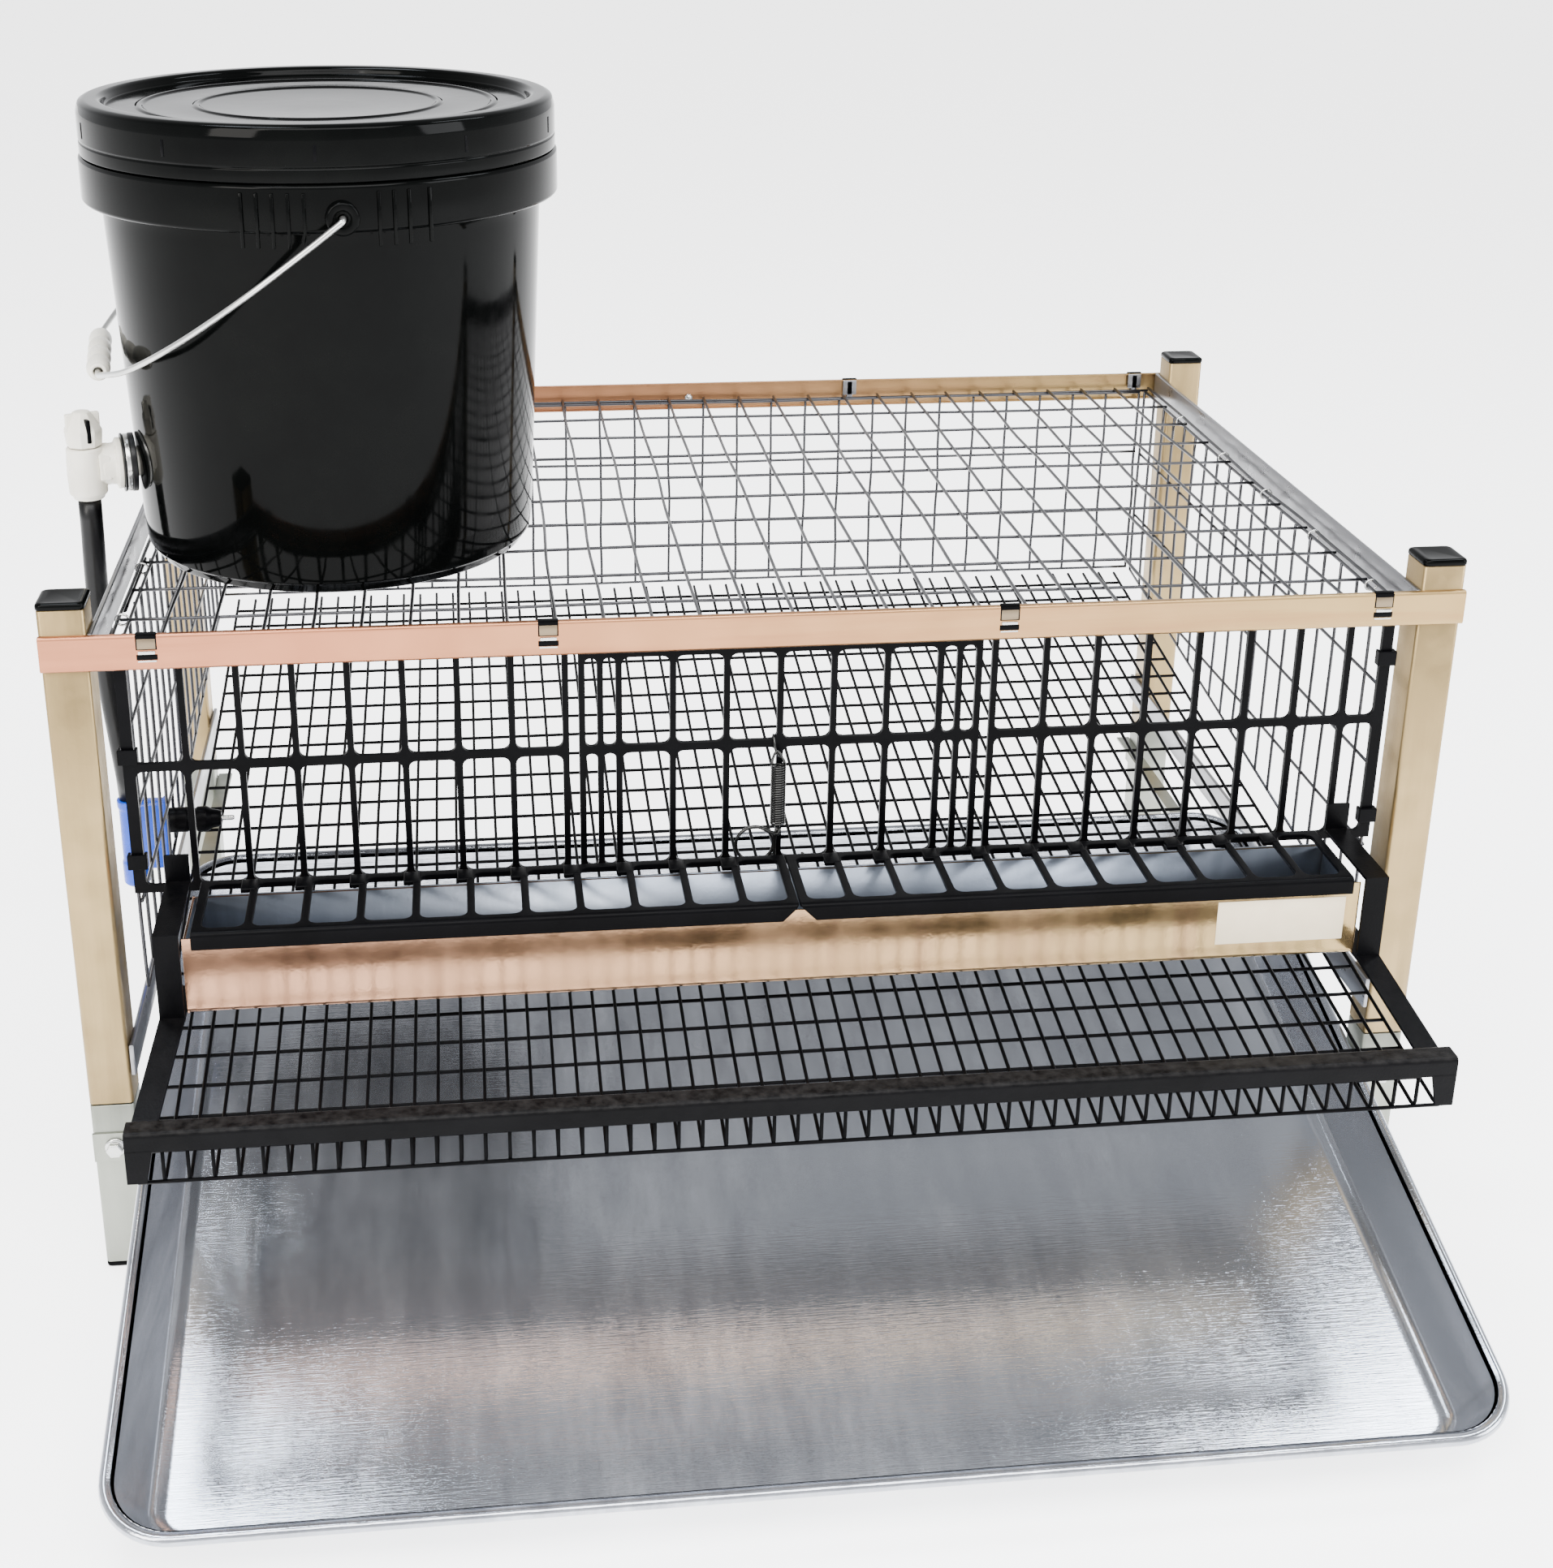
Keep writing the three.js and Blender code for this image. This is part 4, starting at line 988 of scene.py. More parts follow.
# %% Tie rings
def tie_rings(name, places):
    turn = np.linspace(0, 2 * np.pi, 18, endpoint=False)
    circle = np.stack([3.6 * np.cos(turn), 0 * turn, 3.2 * np.sin(turn)], axis=-1)
    paths = np.asarray(places, dtype=float)[:, None] + circle[None]
    return make_piece(name, [tube(paths, 0.8, 6, closed=True, reference=(0, 1, 0))], "bright_wire")


RING_Z = ROOF_TOP - 3.4
tie_rings("tie_rings_right", [(364, y, RING_Z) for y in (157, 61, -25, -112, -205)])
tie_rings("tie_rings_left", [(-364, y, RING_Z) for y in (190, 95, -10, -108, -195)])
rod_line = np.stack([np.full(12, -365.0), np.linspace(-90, -179, 12), np.full(12, RING_Z)], axis=-1)
make_piece("edge_rod", [tube(rod_line, 1.65, 12)], "black_moulding")

# %% [markdown]
# ## Egg tray channel and side brackets
#
# The channel is a folded strip that caps the floor's lip from end to end, with an ear bent down at each end,
# drawn here as a carried section. The brackets are one folded strip each, and the frame already has their
# shape, so they are copies of its solids with softened edges. Both are black painted steel with some dust.

# %% Channel and brackets
channel_low, channel_high = cad("tray_channel")
CHANNEL_HALF = 352.0
sheet = 1.5
front, back = channel_low[1] + sheet / 2, channel_high[1] - sheet / 2
top = channel_high[2] - sheet / 2
channel_line = fillet([[front, 189], [front, top], [back, top], [back, 189]], 2.2, 5)
channel_parts = [carried(folded(channel_line, sheet), -CHANNEL_HALF, CHANNEL_HALF)]
for side in (-1, 1):
    ear = np.array([[338, 190.5], [352, 190.5], [352, 170.5], [342, 170.5]]) * [side, 1]
    ear_points = np.array([[x, y, z] for y in (channel_low[1], channel_low[1] + sheet) for x, z in ear])
    ear_faces = [np.array([[0, 1, 2, 3], [7, 6, 5, 4], [0, 4, 5, 1], [1, 5, 6, 2], [2, 6, 7, 3],
                           [3, 7, 4, 0]])]
    channel_parts.append((ear_points, ear_faces))
crisp(make_piece("egg_tray_channel", channel_parts, "dusty_black_steel", stands_for=["tray_channel"]), 0.3)


def soften(node, name, finish, width):
    """A welded, bevelled copy of a frame node, which then stands for it."""
    mesh = NODES[node].data.copy()
    mesh.name = name
    work = bmesh.new()
    work.from_mesh(mesh)
    bmesh.ops.remove_doubles(work, verts=work.verts, dist=1e-5)
    bmesh.ops.dissolve_limit(work, angle_limit=0.01, verts=work.verts, edges=work.edges)
    work.to_mesh(mesh)
    work.free()
    piece = bpy.data.objects.new(name, mesh)
    bpy.context.scene.collection.objects.link(piece)
    material, slot = MATERIALS[finish]
    mesh.materials.clear()
    mesh.materials.append(material)
    mesh.shade_smooth()
    body = next(body for body, nodes in frame["record"]["behaviour"]["bodies"].items() if node in nodes)
    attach(piece, body)
    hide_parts(node)
    return crisp(piece, width, 2, 30)


soften("bracket_left", "side_bracket_left", "bracket_steel", 0.45)
soften("bracket_right", "side_bracket_right", "bracket_steel", 0.45)

# %% [markdown]
# ## Feed trough and its covers
#
# The trough is one folded sheet with end plates. Its inside lies in shade, so a thin sheet follows the
# same section just inside it with a darker blue-grey finish: painted shade. A blank label sits on its front.

# %% Trough
trough_low, trough_high = cad("feed_trough")
sheet = 1.2
inner_front = trough_low[1] + sheet / 2
inner_back = trough_high[1] - sheet / 2
floor_z = trough_low[2] + sheet / 2
section = fillet([[inner_back, trough_high[2] - 3.6], [inner_back, floor_z], [inner_front, floor_z],
                  [inner_front, trough_high[2] - 0.7]], 3.0, 6)
trough_parts = [carried(folded(section, sheet), trough_low[0], trough_high[0])]
for side in (-1, 1):
    inner = side * (trough_high[0] - sheet)
    outer = side * trough_high[0]
    trough_parts.append(block([inner, trough_low[1] + 0.3, trough_low[2] + 0.3],
                              [outer, trough_high[1] - 0.3, trough_high[2] - 4], 0.4))
crisp(make_piece("trough_shell", trough_parts, "trough_sheet", body="trough", stands_for=["feed_trough"]),
      0.25)
# A thin sheet just inside the trough's walls and floor carries the painted shade of its inside.
SHADE_SHEET, SHADE_GAP = 0.2, 0.75
shade_line = fillet([[inner_back - SHADE_GAP, trough_high[2] - 4.2],
                 [inner_back - SHADE_GAP, floor_z + SHADE_GAP],
                 [inner_front + SHADE_GAP, floor_z + SHADE_GAP],
                 [inner_front + SHADE_GAP, trough_high[2] - 1.4]], 2.6, 6)
rear_edge = [[inner_back - 0.8, trough_high[2] - 3.4], [inner_back + 0.6, trough_high[2] - 3.4]]
shade_sheet_parts = [carried(folded(shade_line, SHADE_SHEET), trough_low[0] + 1.5, trough_high[0] - 1.5),
                carried(folded(rear_edge, SHADE_SHEET), trough_low[0] + 1.5, trough_high[0] - 1.5)]
for side in (-1, 1):
    plate = side * (trough_high[0] - sheet - 0.3)
    shade_sheet_parts.append(block([min(plate, plate + side * SHADE_SHEET), inner_front + 1, floor_z + 1],
                              [max(plate, plate + side * SHADE_SHEET), inner_back - 1,
                               trough_high[2] - 4.2], 0.05))
make_piece("trough_shade_sheet", shade_sheet_parts, "trough_inside_shade", body="trough")
LABEL_X, LABEL_Z = (246, 321), (222, 249)
label = block([LABEL_X[0], trough_low[1] - 0.28, LABEL_Z[0]], [LABEL_X[1], trough_low[1] + 0.1, LABEL_Z[1]],
              0.25)
make_piece("trough_label", [label], "blank_label", body="trough")

# %% [markdown]
# Each cover is a plastic moulding: a flat plate with eleven rounded windows and a lip that hangs over the
# trough's front. The plate is a window sheet; the lip is one more strip along the same front points, bent
# down through an arc, so the two weld into one surface before they are thickened.

# %% Trough covers
COVER_WINDOWS = 11
COVER_RIB = 4.4
COVER_SHEET = 2.6
COVER_BEND = 1.6
SEAM_CUT = 9.0


def trough_cover(place):
    low, high = cad(f"cover_{place}")
    plate_z = high[2] - 1.7
    pitch = (high[0] - low[0]) / COVER_WINDOWS
    middles = low[0] + pitch * np.arange(COVER_WINDOWS + 1)
    columns = [(x, COVER_RIB) for x in middles]
    columns[0] = (low[0] + 2.6, 5.2)
    columns[-1] = (high[0] - 2.6, 5.2)
    rows = [(low[1] + 3.4, 6.8), (high[1] - 2.2, 4.4)]
    points, faces = window_sheet(columns, rows, 5.0)
    flat = np.column_stack([points, np.full(len(points), plate_z)])
    flat[:, 1] = np.maximum(flat[:, 1], low[1] + 3)
    cell_edges = np.concatenate([[low[0]], middles[1:-1], [high[0]]])
    along = (cell_edges[:-1, None] + np.diff(cell_edges)[:, None] * SIDE[None]).ravel()
    along = np.append(along, high[0])
    bend = np.radians(np.linspace(0, 90, 6))
    lip = np.concatenate([
        np.stack([low[1] + 3 - COVER_BEND * np.sin(bend), plate_z - COVER_BEND * (1 - np.cos(bend))],
                 axis=-1),
        [[low[1] + 1.4, low[2] + 0.4]]])
    strip_points = np.empty((len(lip), len(along), 3))
    strip_points[..., 0] = along
    strip_points[..., 1:] = lip[:, None]
    cut_back = (SEAM_CUT * (plate_z - lip[:, 1]) / (plate_z - lip[-1, 1]))[:, None]
    if place == "left":
        strip_points[..., 0] = np.minimum(strip_points[..., 0], high[0] - cut_back)
    else:
        strip_points[..., 0] = np.maximum(strip_points[..., 0], low[0] + cut_back)
    strip_faces = [grid_quads(len(lip), len(along), close_columns=False)]
    cover = make_piece(f"slotted_cover_{place}", [(flat, faces), (strip_points.reshape(-1, 3), strip_faces)],
                       "black_moulding", body=f"cover_{place}", stands_for=[f"cover_{place}"])
    crisp(thicken(cover, COVER_SHEET), 0.5)
    return middles[1:-1], high


for place in ("left", "right"):
    rib_places, cover_high = trough_cover(place)
    studs = [block([x - 7.5, cover_high[1] - 12.5, cover_high[2] - 3.0],
                   [x + 1.5, cover_high[1] - 0.6, cover_high[2] - 0.1], 1.2) for x in rib_places]
    make_piece(f"cover_studs_{place}", studs, "black_moulding", body=f"cover_{place}")

# %% [markdown]
# ## Barred front and door
#
# The grilles and the door are mouldings of round-cornered bars. Each is a window sheet drawn upright in the
# plane of the front, thickened and bevelled. The door hangs on a thin rod by four open hooks.

# %% Grilles and door
GRILLE_LOW, GRILLE_HIGH = cad("grille_left")
FRONT_PLANE = (GRILLE_LOW[1] + GRILLE_HIGH[1]) / 2
BAR = GRILLE_HIGH[1] - GRILLE_LOW[1]
BAR_ROWS = [(252, 4.4), (327, 4.6), (394, 4.2)]
DOOR_ROWS = [(252, 4.4), (327, 4.6), (385, 4.2)]
END_BAR = (359.5, 6.5)
LEFT_BARS = [(-END_BAR[0], END_BAR[1])] + [(x, 3.6) for x in -118 - 30 * np.arange(8)[::-1]]
RIGHT_BARS = [(x, 3.6) for x in 127 + 30 * np.arange(8)] + [END_BAR]
DOOR_BARS = ([(-108.8, 3.6), (-98.5, 3.4)] + [(x, 3.6) for x in -88 + 30.6 * np.arange(7)]
             + [(106.6, 3.4), (117.8, 3.6)])


def upright_sheet(columns, rows, radius):
    """A window sheet whose u is X and v is Z, in the plane of the front."""
    points, faces = window_sheet(columns, rows, radius)
    return np.column_stack([points[:, 0], np.full(len(points), FRONT_PLANE), points[:, 1]]), faces


def moulded_bars(name, columns, rows, body, node):
    piece = make_piece(name, [upright_sheet(columns, rows, 4.2)], "black_moulding", body=body,
                       stands_for=[node])
    return crisp(thicken(piece, BAR), 0.75, 3)


moulded_bars("barred_front_left", LEFT_BARS, BAR_ROWS, "cage", "grille_left")
moulded_bars("barred_front_right", RIGHT_BARS, BAR_ROWS, "cage", "grille_right")
moulded_bars("barred_door", DOOR_BARS, DOOR_ROWS, "door", "front_door")

rod_low, rod_high = cad("door_rod")
HINGE_Z = (rod_low[2] + rod_high[2]) / 2
HOOK_RADIUS = 3.1
hook_turn = np.radians(np.linspace(-100, 150, 16))
hook_line = np.stack([FRONT_PLANE - HOOK_RADIUS * np.cos(hook_turn),
                      HINGE_Z + HOOK_RADIUS * np.sin(hook_turn)], axis=-1)
hook_line = np.concatenate([[[FRONT_PLANE - 0.2, HINGE_Z - 5.5]], hook_line])
hooks = [carried(folded(hook_line, 2.2), x - 4, x + 4) for x in (-94, -6, 10.5, 99.5)]
crisp(make_piece("door_hooks", hooks, "black_moulding", body="door"), 0.3)
repaint("door_rod", "bright_wire")

for clip in ("left_upper", "left_lower", "right_upper", "right_lower"):
    soften(f"clip_{clip}", f"bar_clip_{clip}", "black_moulding", 0.6)

# %% [markdown]
# ## Latch
#
# A close-wound spring hooks over the door's middle bar; below it a ring for the finger ends in a leg that
# hooks under the door. The spring is a real helix of 3.85 mm radius, nearly close-wound.

# %% Spring and ring
SPRING_LOW, SPRING_HIGH, SPRING_X, SPRING_Y = 278.4, 315.6, 2.5, -251.8
SPRING_WIRE = 0.62
SPRING_RADIUS = 3.85
turns = int((SPRING_HIGH - SPRING_LOW) / (2 * SPRING_WIRE * 1.18))
angle = np.linspace(0, 2 * np.pi * turns, turns * 14 + 1)
helix = np.stack([SPRING_X + SPRING_RADIUS * np.cos(angle), SPRING_Y + SPRING_RADIUS * np.sin(angle),
                  np.linspace(SPRING_LOW, SPRING_HIGH, len(angle))], axis=-1)


def smooth_line(points, steps):
    """A Catmull-Rom curve through the points: each stretch is a cubic that takes its slopes from its
    neighbours."""
    points = np.asarray(points, dtype=float)
    padded = np.concatenate([[2 * points[0] - points[1]], points, [2 * points[-1] - points[-2]]])
    p0, p1, p2, p3 = (padded[k:len(padded) - 3 + k, None] for k in range(4))
    t = np.linspace(0, 1, steps, endpoint=False)[None, :, None]
    curve = 0.5 * (2 * p1 + (p2 - p0) * t + (2 * p0 - 5 * p1 + 4 * p2 - p3) * t ** 2
                   + (3 * p1 - p0 - 3 * p2 + p3) * t ** 3)
    return np.concatenate([curve.reshape(-1, 3), points[-1:]])


top_hook = smooth_line([[6.2, -251.8, 315.8], [5.4, -251.6, 318.6], [2.6, -251.0, 321.5],
                        [0.9, -249.6, 324.5],
                        [0.4, -248.3, 328.5], [0.4, -245.2, 331.2], [0.4, -242.3, 329.6],
                        [0.4, -241.6, 325.5]], 6)
spring_eye = smooth_line([[-1.2, -251.8, 315.8], [-0.8, -251.8, 320], [1.6, -251.4, 324.2],
                          [4.3, -251.8, 320.5],
                          [6.0, -251.9, 316.5]], 5)
make_piece("latch_coil", [tube(helix, SPRING_WIRE, 6), tube(top_hook, 0.75, 8, reference=(1, 0, 0)),
                          tube(spring_eye, 0.75, 8, reference=(0, 1, 0))],
           "coil_wire", body="latch_spring", stands_for=["latch_spring"])

RING_PLACE, RING_RADIUS, RING_WIRE = np.array([-10.6, -251.8, 266]), 11.0, 1.05
loop_turn = np.linspace(np.radians(18), np.radians(18 + 366), 48)
loop = RING_PLACE + np.stack([RING_RADIUS * np.cos(loop_turn), np.linspace(0, 0.6, 48),
                              RING_RADIUS * np.sin(loop_turn)], axis=-1)
leg = smooth_line([[-6.5, -252.2, 276.2], [-1.5, -252.3, 273.6], [2.6, -252.2, 272.2], [3.6, -251.8, 274.6],
                   [2.0, -251.4, 274.2],
                   [0.9, -251.8, 268], [1.0, -252.4, 259], [2.6, -252.9, 255.8], [7, -253.8, 254.9],
                   [12.5, -254.9, 255.6], [16.2, -255.4, 257.8], [17, -255.6, 261]], 6)
eye = smooth_line([[2.5, -251.8, 279], [3.4, -251.8, 276.4], [3.0, -251.7, 273.6]], 5)
make_piece("finger_ring", [tube(loop, RING_WIRE, 10, reference=(0, 1, 0)),
                           tube(leg, RING_WIRE, 10, reference=(0, 1, 0)),
                           tube(eye, 0.75, 8, reference=(0, 1, 0))],
           "coil_wire", body="latch_ring", stands_for=["latch_ring"])

# %% [markdown]
# ## Droppings pan
#
# A pressed aluminium tray with wide corner radii, sloping walls and a rolled rim. It is one closed stack of
# rounded rectangles: up the outer wall, over the rolled rim, down the inner wall and across the floor. It is
# drawn level and then tilted, as it rests drawn half out.

# %% Pan
joint = next(joint for joint in frame["joints"] if joint["name"] == "pan_slide")
PAN_TILT = float(np.arctan2(joint["axis"][2], joint["axis"][1]))
pan_low, pan_high = cad("droppings_pan")
PAN_HALF_X = (pan_high[0] - pan_low[0]) / 2
PAN_DEPTH = 38.0
PAN_HALF_Y = 254.0
PAN_REAR = (-26.3, 162.9)
RIM = 3.1


def pan_level(inward, depth, corner):
    return (PAN_HALF_X - inward, PAN_HALF_Y - inward, corner - min(inward, corner - 6), -depth)


def pan_levels():
    corner = 40
    roll = np.radians(np.linspace(-150, 120, 12))
    rim = [pan_level(RIM + 0.05 - RIM * np.cos(angle), RIM + 0.05 - RIM * np.sin(angle),
                     corner) for angle in roll]
    wall_out = [pan_level(8.3 + 11.0 * k, 6.5 + (PAN_DEPTH - 12) * k, corner) for k in (1, 0.66, 0.33, 0)]
    round_out = [pan_level(20.6, PAN_DEPTH - 3.2, corner), pan_level(24.0, PAN_DEPTH - 0.9, corner),
                 pan_level(30.0, PAN_DEPTH, corner)]
    round_in = [pan_level(30.5, PAN_DEPTH - 1.1, corner), pan_level(25.0, PAN_DEPTH - 1.9, corner),
                pan_level(21.8, PAN_DEPTH - 4.0, corner)]
    wall_in = [pan_level(9.4 + 11.0 * k, 6.0 + (PAN_DEPTH - 12) * k, corner) for k in (1, 0.66, 0.33, 0)]
    shoulder = [pan_level(8.0, 2.6, corner), pan_level(6.3, 0.9, corner)]
    return round_out[::-1] + wall_out + rim + shoulder + wall_in[::-1] + round_in[::-1]


tray = stack(pan_levels(), arc=12)
tray = moved(tray, (0, -PAN_HALF_Y, 0))
tray = moved(tray, (0, *PAN_REAR), turn_about("x", PAN_TILT))
pan = make_piece("pressed_pan", [tray], "pan_sheet", body="pan", stands_for=["droppings_pan"])
pan.modifiers.new("flats", "WEIGHTED_NORMAL").keep_sharp = True
print("pan tilt", round(float(np.degrees(PAN_TILT)), 2), "degrees")

# %% [markdown]
# ## Bucket, lid and bail
#
# The bucket is a turned shell with a rounded foot, a slight taper and a deep collar; the lid is turned too,
# with a sunk panel and plain raised rings. Upright ribs stiffen the collar. The profile corners are rounded
# before the turn, so the gloss has something soft to run along.

# %% Bucket and lid
lid_low, lid_high = cad("bucket_lid")
BUCKET_X, BUCKET_Y = (lid_low[0] + lid_high[0]) / 2, (lid_low[1] + lid_high[1]) / 2
BUCKET_BASE = cad("bucket")[0][2]
COLLAR_TOP = 638.0
bucket_profile = fillet([
    (60, BUCKET_BASE + 2), (104, BUCKET_BASE + 1.2), (108, BUCKET_BASE), (112.5, BUCKET_BASE + 0.4),
    (115.6, BUCKET_BASE + 6),
    (117.2, BUCKET_BASE + 7), (118, BUCKET_BASE + 16), (118.6, BUCKET_BASE + 24), (127, 604), (127.5, 611.5),
    (136.5, 612), (138, 613.5), (138, COLLAR_TOP - 1.5), (136.8, COLLAR_TOP), (131.5, COLLAR_TOP),
    (131.5, 655),
    (129.8, 655), (124.6, 605), (115.6, 413), (111, BUCKET_BASE + 3.5), (60, BUCKET_BASE + 3.5)], 1.6, 4)
outlet_angle = np.radians(193.5)
EAR_ANGLE = np.radians(97.2)
EAR_Z = 620.5
CENTRE = np.array([BUCKET_X, BUCKET_Y, 0.0])


def spoke(part, azimuth, z):
    """A turned part laid so that its own Z points out of the bucket at an azimuth and height."""
    return moved(part, CENTRE + [0, 0, z], turn_about("z", azimuth) @ turn_about("y", np.pi / 2))


parts = [moved(turned(bucket_profile, 144), CENTRE)]
for azimuth in (EAR_ANGLE, EAR_ANGLE + np.pi):
    parts.append(spoke(turned(fillet([(9.2, 134), (9.2, 142), (8.2, 143), (5.0, 143), (4.2, 142), (2.6, 142),
                                      (2.6, 136)],
                                     0.6, 3), 40), azimuth, EAR_Z))
rib_azimuths = np.radians([-105, -101.5, -98, -94.5, -91, -74.5, -71, -67.5, -62.5])
for azimuth in np.concatenate([rib_azimuths, rib_azimuths + np.pi]):
    rib = block([137.4, -0.9, 604.5], [139.2, 0.9, 634], 0.7)
    parts.append(moved(rib, CENTRE, turn_about("z", azimuth)))
make_piece("bucket_shell", parts, "gloss_black", stands_for=["bucket", "bucket_bottom"])

lid_profile = fillet([
    (20, 660), (131, 660), (134.2, 659), (134.8, lid_low[2]), (137.0, lid_low[2]), (137.0, 645.6),
    (136.3, 646.4), (137.0, 647.4),
    (137.0, 662), (135.6, 667.5), (132.5, 669), (124.5, 669), (122.4, 667.5), (121.2, 664.0),
    (104, 663.4), (102.6, 664.4), (100.4, 664.4), (99, 663.2), (72, 662.8), (70.5, 663.8), (68.5, 663.8),
    (67, 662.8),
    (20, 662.6)], 1.3, 4)
parts = [moved(turned(lid_profile, 144), CENTRE)]
make_piece("lid_shell", parts, "gloss_black", body="lid", stands_for=["bucket_lid"])
slots = []
for azimuth in np.radians(np.arange(-160, 200, 36)):
    mark = block([136.7, -0.9, 650], [137.25, 0.9, 659], 0.25)
    slots.append(moved(mark, CENTRE, turn_about("z", azimuth)))
make_piece("lid_pry_marks", slots, "black_moulding", body="lid")

# %% [markdown]
# The bail is one bright wire: a stub into each ear, a bent arm each side and a straight middle that carries
# the grip. Its curve is drawn flat, in its own plane, and then laid in the plane in which it hangs.

# %% Bail and grip
droop = np.radians(36.3)
ear_axis = np.array([np.cos(EAR_ANGLE), np.sin(EAR_ANGLE), 0])
arm_axis = np.array([-np.sin(EAR_ANGLE) * np.cos(droop), np.cos(EAR_ANGLE) * np.cos(droop), -np.sin(droop)])
bail_turn = np.stack([ear_axis, arm_axis, np.cross(ear_axis, arm_axis)], axis=1)
bail_place = CENTRE + [0, 0, EAR_Z]
half_bail = np.array([[139.8, 0], [143.6, 0], [146.4, 0.5], [147.8, 2.6], [148, 8], [148, 28], [143, 70],
                      [127, 113],
                      [98, 147], [60, 166], [48, 169], [30, 169], [0, 169]])
bail_line = np.concatenate([half_bail, half_bail[-2::-1] * [-1, 1]])
bail_line = smooth_line(np.column_stack([bail_line, np.zeros(len(bail_line))]), 8)
make_piece("bail_wire", [moved(tube(bail_line, 1.75, 12), bail_place, bail_turn)], "bright_wire", body="bail",
           stands_for=["bail"])
GRIP_HALF = 44.5
z = np.linspace(-GRIP_HALF, GRIP_HALF, 90)
swell = 4.9 + 2.0 * np.abs(np.sin(2 * np.pi * (z + GRIP_HALF) / GRIP_HALF)) ** 0.6
grip_profile = np.concatenate([np.stack([swell, z], axis=-1), [[5.0, 45], [2.9, 45], [2.9, -45], [5.0, -45]]])
grip = moved(turned(grip_profile, 36, closed=True), (0, 169, 0), turn_about("y", np.pi / 2))
make_piece("bail_sleeve", [moved(grip, bail_place, bail_turn)], "creamy_white", body="bail_grip",
           stands_for=["bail_grip"])

# %% [markdown]
# ## Valve, grommet and drinker
#
# A rubber grommet and a bright washer seal the valve in the bucket's wall. The valve body is a stack of
# turned steps in white plastic with a knob on top; the drinker below is a blue elbow that carries the black
# nipple and its steel pin through the side panel.

# %% Valve
VALVE_Z = 457.0
VALVE_REACH = 150.0
valve_axis = CENTRE + VALVE_REACH * np.array([np.cos(outlet_angle), np.sin(outlet_angle), 0])


def outlet_ring(name, radius, reach, finish):
    """A flat ring round the outlet, from one distance to another from the bucket's axis."""
    ring = fillet([(10, reach[0]), (radius, reach[0]), (radius, reach[1]), (10, reach[1])], 0.5, 3)
    make_piece(name, [spoke(turned(ring, 48, closed=True), outlet_angle, VALVE_Z)], finish)


outlet_ring("outlet_grommet", 17.6, (121.6, 124.9), "hose_rubber")
outlet_ring("outlet_washer", 17.2, (125.0, 128.0), "bright_wire")
outlet_ring("outlet_seal", 17.6, (128.1, 129.4), "hose_rubber")
body = turned(fillet([(4, 437.2), (9.0, 437.2), (9.4, 439), (11.2, 440.5), (11.6, 452), (11.0, 468),
                      (10, 469), (3, 469)],
                     1.2, 4), 48)
neck = turned(fillet([(4, 108), (8.9, 108), (8.9, 129.5), (15.2, 129.5), (15.4, 132.5), (12.6, 133.6),
                      (12.0, 141),
                      (9.0, 142), (9.0, 148), (3, 148)], 0.8, 3), 48)
hexagon = turned(fillet([(4, 136.5), (12.6, 136.5), (13.2, 137.3), (13.2, 142.5), (12.6, 143.3), (4, 143.3)],
                        0.6, 2), 6)
valve = make_piece("valve_shell", [moved(body, valve_axis), spoke(neck, outlet_angle, VALVE_Z),
                                   spoke(hexagon, outlet_angle, VALVE_Z)], "creamy_white",
                                   stands_for=["valve_body"])
crisp(valve, 0.3)

# %% [markdown]
# The valve's knob is tapered and eight-sided, with a grip wing across its top; a black strip down its face paints
# the shade of one facet.

# %% Knob
knob = turned(fillet([(3, 469.5), (10.4, 469.5), (11.4, 479.5), (5.2, 490.3), (3, 490.8)], 1.4, 4), 8)
wing = block([-10, -1.7, 478], [10, 1.7, 489.5], 1.2)
quarter = turn_about("z", np.radians(20))
crisp(make_piece("valve_handle", [moved(knob, valve_axis), moved(wing, valve_axis, quarter)], "creamy_white",
                 body="valve_lever", stands_for=["valve_lever"]), 0.6)
# Painted shade: a black block on the knob's face stands for one facet in shadow.
facet_shade = block([5.6, -1.2, 473], [10.9, 1.2, 487], 0.5)
make_piece("valve_facet_shade", [moved(facet_shade, valve_axis, turn_about("z", np.radians(-62)))], "black_moulding",
           body="valve_lever")

# %% Drinker
nipple_low, nipple_high = cad("nipple_body")
pin_low = cad("nipple_pin")[0]
NIPPLE_Y, NIPPLE_Z = (nipple_low[1] + nipple_high[1]) / 2, (nipple_low[2] + nipple_high[2]) / 2
stem_x, stem_y = -386.0, -97.0
stem = turned(fillet([(3, 180), (6.5, 180), (8.4, 182), (8.4, 196), (7.6, 198), (7.6, 233), (8.4, 235),
                      (8.4, 239.4),
                      (3, 239.4)], 0.8, 3), 40)
arm = block([stem_x, stem_y - 7, 192], [-363.7, stem_y + 5, 238], 2.5)
flange = block([-366.5, stem_y - 7, 192], [-363.7, stem_y + 5, 238], 1.0)
make_piece("drinker_elbow", [moved(stem, (stem_x, stem_y, 0)), arm, flange], "drinker_blue",
           stands_for=["drinker_body"])
to_x = turn_about("y", np.pi / 2)
nipple = turned(fillet([(2.4, 14), (2.4, 33), (4.6, 33), (5.4, 31), (6.2, 27), (8, 24), (8, 18), (7, 17),
                        (7, 13), (8, 12),
                        (8, 0.2), (2, 0.2)], 0.7, 3), 36)
make_piece("nipple_shell", [moved(nipple, (nipple_low[0], NIPPLE_Y, NIPPLE_Z), to_x)], "black_moulding",
           stands_for=["nipple_body"])
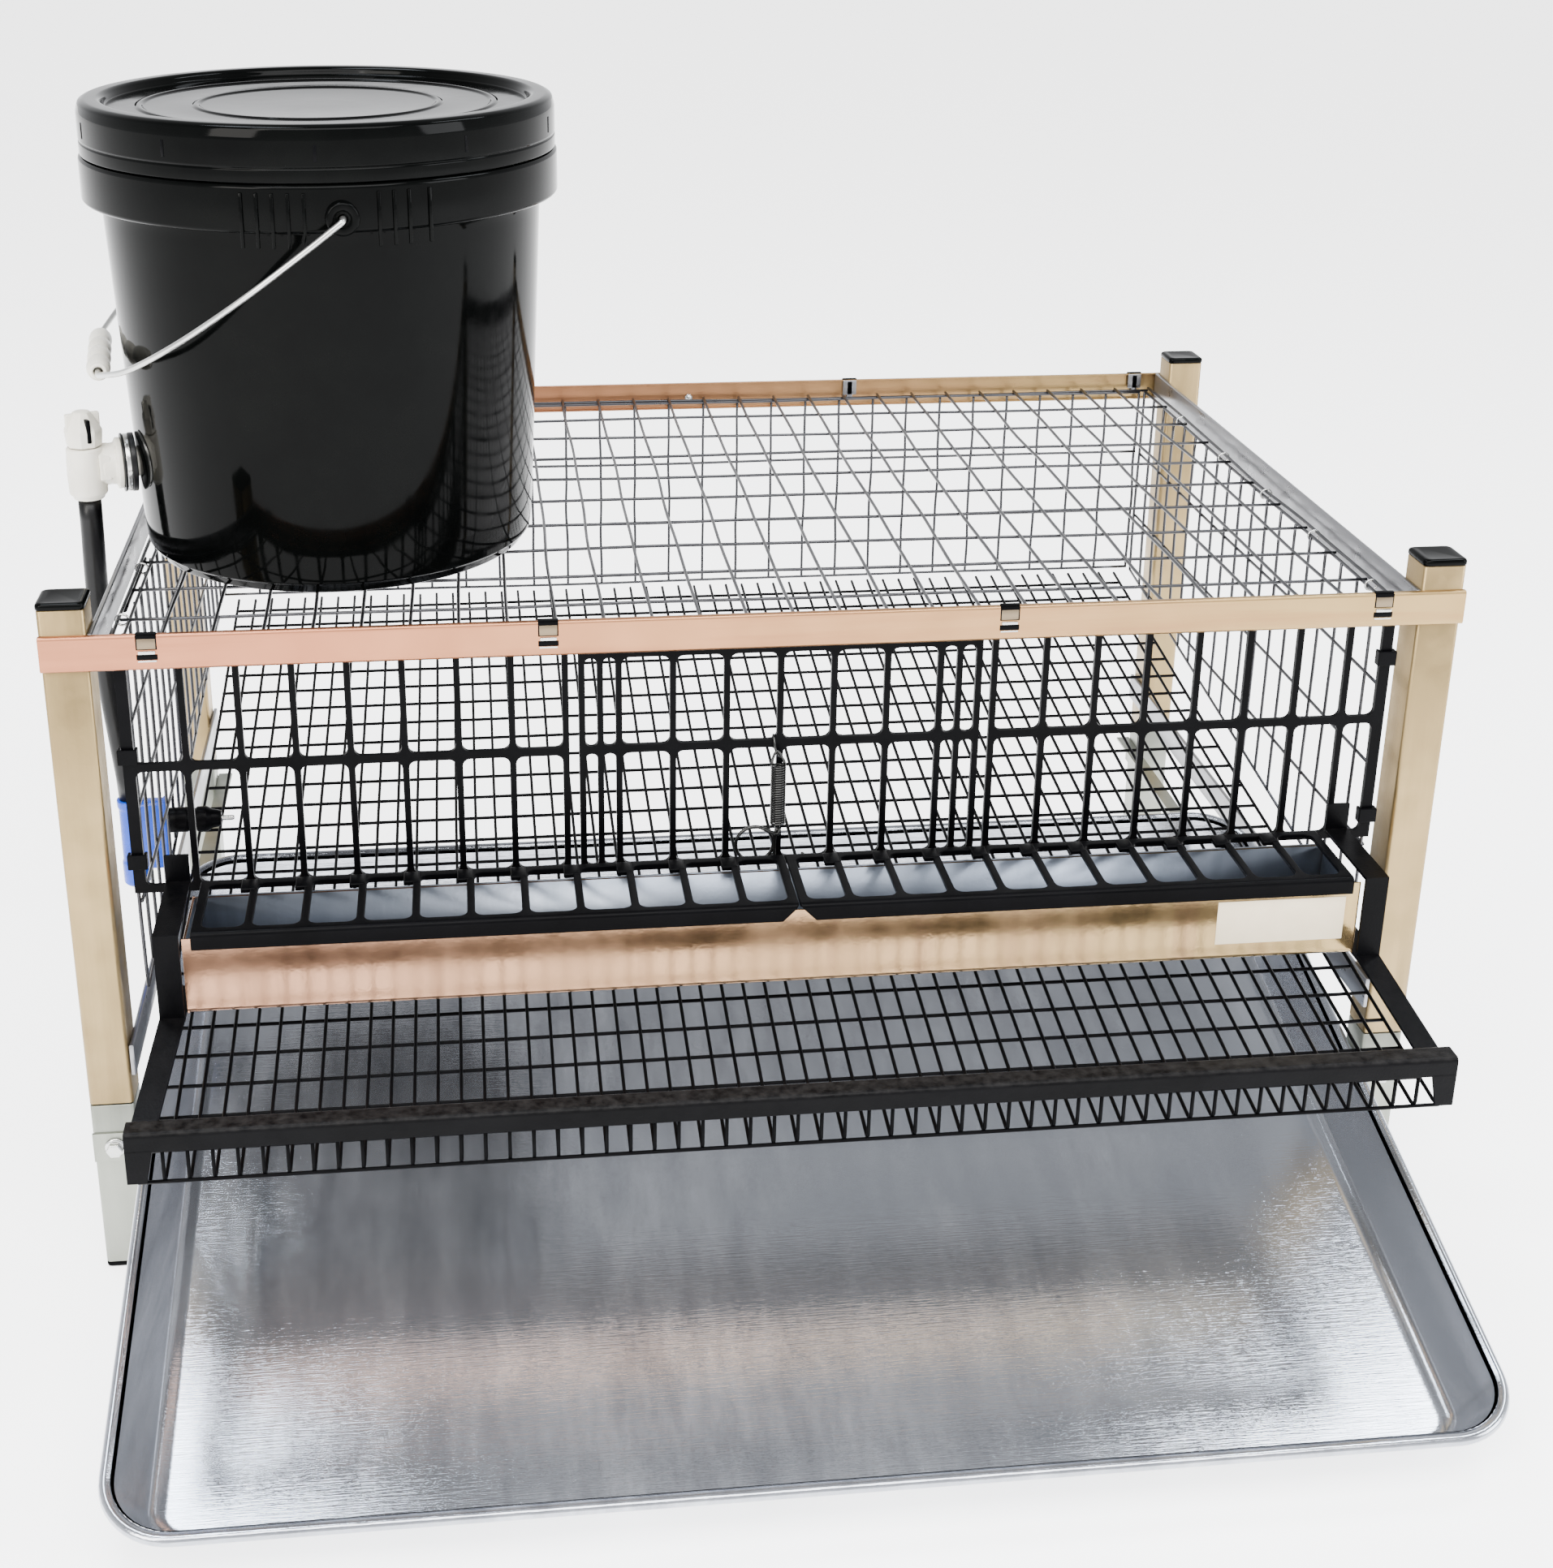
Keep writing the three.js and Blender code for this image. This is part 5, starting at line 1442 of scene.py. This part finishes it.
pin = turned(fillet([(0.8, 0), (1.6, 0.4), (1.6, 24), (1.0, 25), (0.4, 25)], 0.4, 3), 20)
make_piece("drinking_pin", [moved(pin, (pin_low[0], NIPPLE_Y, NIPPLE_Z), to_x)], "bright_wire",
           body="nipple_pin",
           stands_for=["nipple_pin"])

# %% [markdown]
# ## Floor, light and world
#
# A pale floor and large soft lights: a broad one above, a key from the front left, a fill from the right and
# two narrow cards behind, whose reflections are the soft bright patches in the pan. The world is bright at
# the horizon and darker overhead, so that the pan, which mirrors what is overhead, reads as metal and not as
# white.

# %% Stage
STAGE_REACH = 12.0
STAGE_GLOW = 2.6


def stage_material():
    material = bpy.data.materials.new("pale_floor")
    material.use_nodes = True
    shader = material.node_tree.nodes["Principled BSDF"]
    shader.inputs["Base Color"].default_value = (0.93, 0.93, 0.93, 1)
    shader.inputs["Roughness"].default_value = 0.9
    shader.inputs["Emission Color"].default_value = (1, 1, 1, 1)
    shader.inputs["Emission Strength"].default_value = STAGE_GLOW
    return material


floor_mesh = bpy.data.meshes.new("stage_floor")
stage_corners = np.array([(-1, -1, 0), (1, -1, 0), (1, 1, 0), (-1, 1, 0)]) * STAGE_REACH
floor_mesh.from_pydata(stage_corners.tolist(), [], [(0, 1, 2, 3)])
floor_mesh.materials.append(stage_material())
stage_floor = bpy.data.objects.new("stage_floor", floor_mesh)
bpy.context.scene.collection.objects.link(stage_floor)


def area_light(name, place, target, size, power, colour=(1, 1, 1)):
    """A rectangular soft light at place, aimed at target, both in metres."""
    data = bpy.data.lights.new(name, "AREA")
    data.shape = "RECTANGLE"
    data.size, data.size_y = size
    data.energy = power
    data.color = colour
    light = bpy.data.objects.new(name, data)
    light.location = place
    direction = np.array(target, dtype=float) - np.array(place, dtype=float)
    yaw = np.arctan2(direction[0], -direction[1])
    pitch = np.arctan2(np.hypot(direction[0], direction[1]), -direction[2])
    light.rotation_euler = (pitch, 0, yaw + np.pi)
    bpy.context.scene.collection.objects.link(light)
    return light


area_light("overhead", (0.0, -1.5, 2.7), (0, 0, 0.2), (2.6, 1.4), 150)
area_light("front_left_key", (-2.0, -2.2, 2.1), (0, 0, 0.3), (1.2, 1.8), 120, (1.0, 0.97, 0.92))
area_light("right_fill", (2.5, -1.3, 1.5), (0, 0, 0.3), (1.2, 1.6), 80, (0.95, 0.97, 1.0))
area_light("left_card", (-0.72, 0.35, 2.5), (-0.30, -0.35, 0.05), (0.34, 0.9), 30, (0.85, 0.92, 1.0))
area_light("right_card", (1.36, 0.35, 2.5), (0.30, -0.35, 0.05), (0.34, 0.9), 30, (0.9, 0.95, 1.0))

# %% World
HORIZON_LIGHT = 2.2
ZENITH_LIGHT = 0.7
world = bpy.data.worlds.new("pale_room")
world.use_nodes = True
sky = world.node_tree
sky.nodes["Background"].inputs["Color"].default_value = (0.97, 0.98, 1.0, 1)
direction = sky.nodes.new("ShaderNodeTexCoord")
height = sky.nodes.new("ShaderNodeSeparateXYZ")
fade = sky.nodes.new("ShaderNodeMapRange")
fade.inputs["From Min"].default_value = 0.05
fade.inputs["From Max"].default_value = 0.75
fade.inputs["To Min"].default_value = HORIZON_LIGHT
fade.inputs["To Max"].default_value = ZENITH_LIGHT
sky.links.new(direction.outputs["Generated"], height.inputs["Vector"])
sky.links.new(height.outputs["Z"], fade.inputs["Value"])
sky.links.new(fade.outputs["Result"], sky.nodes["Background"].inputs["Strength"])
bpy.context.scene.world = world
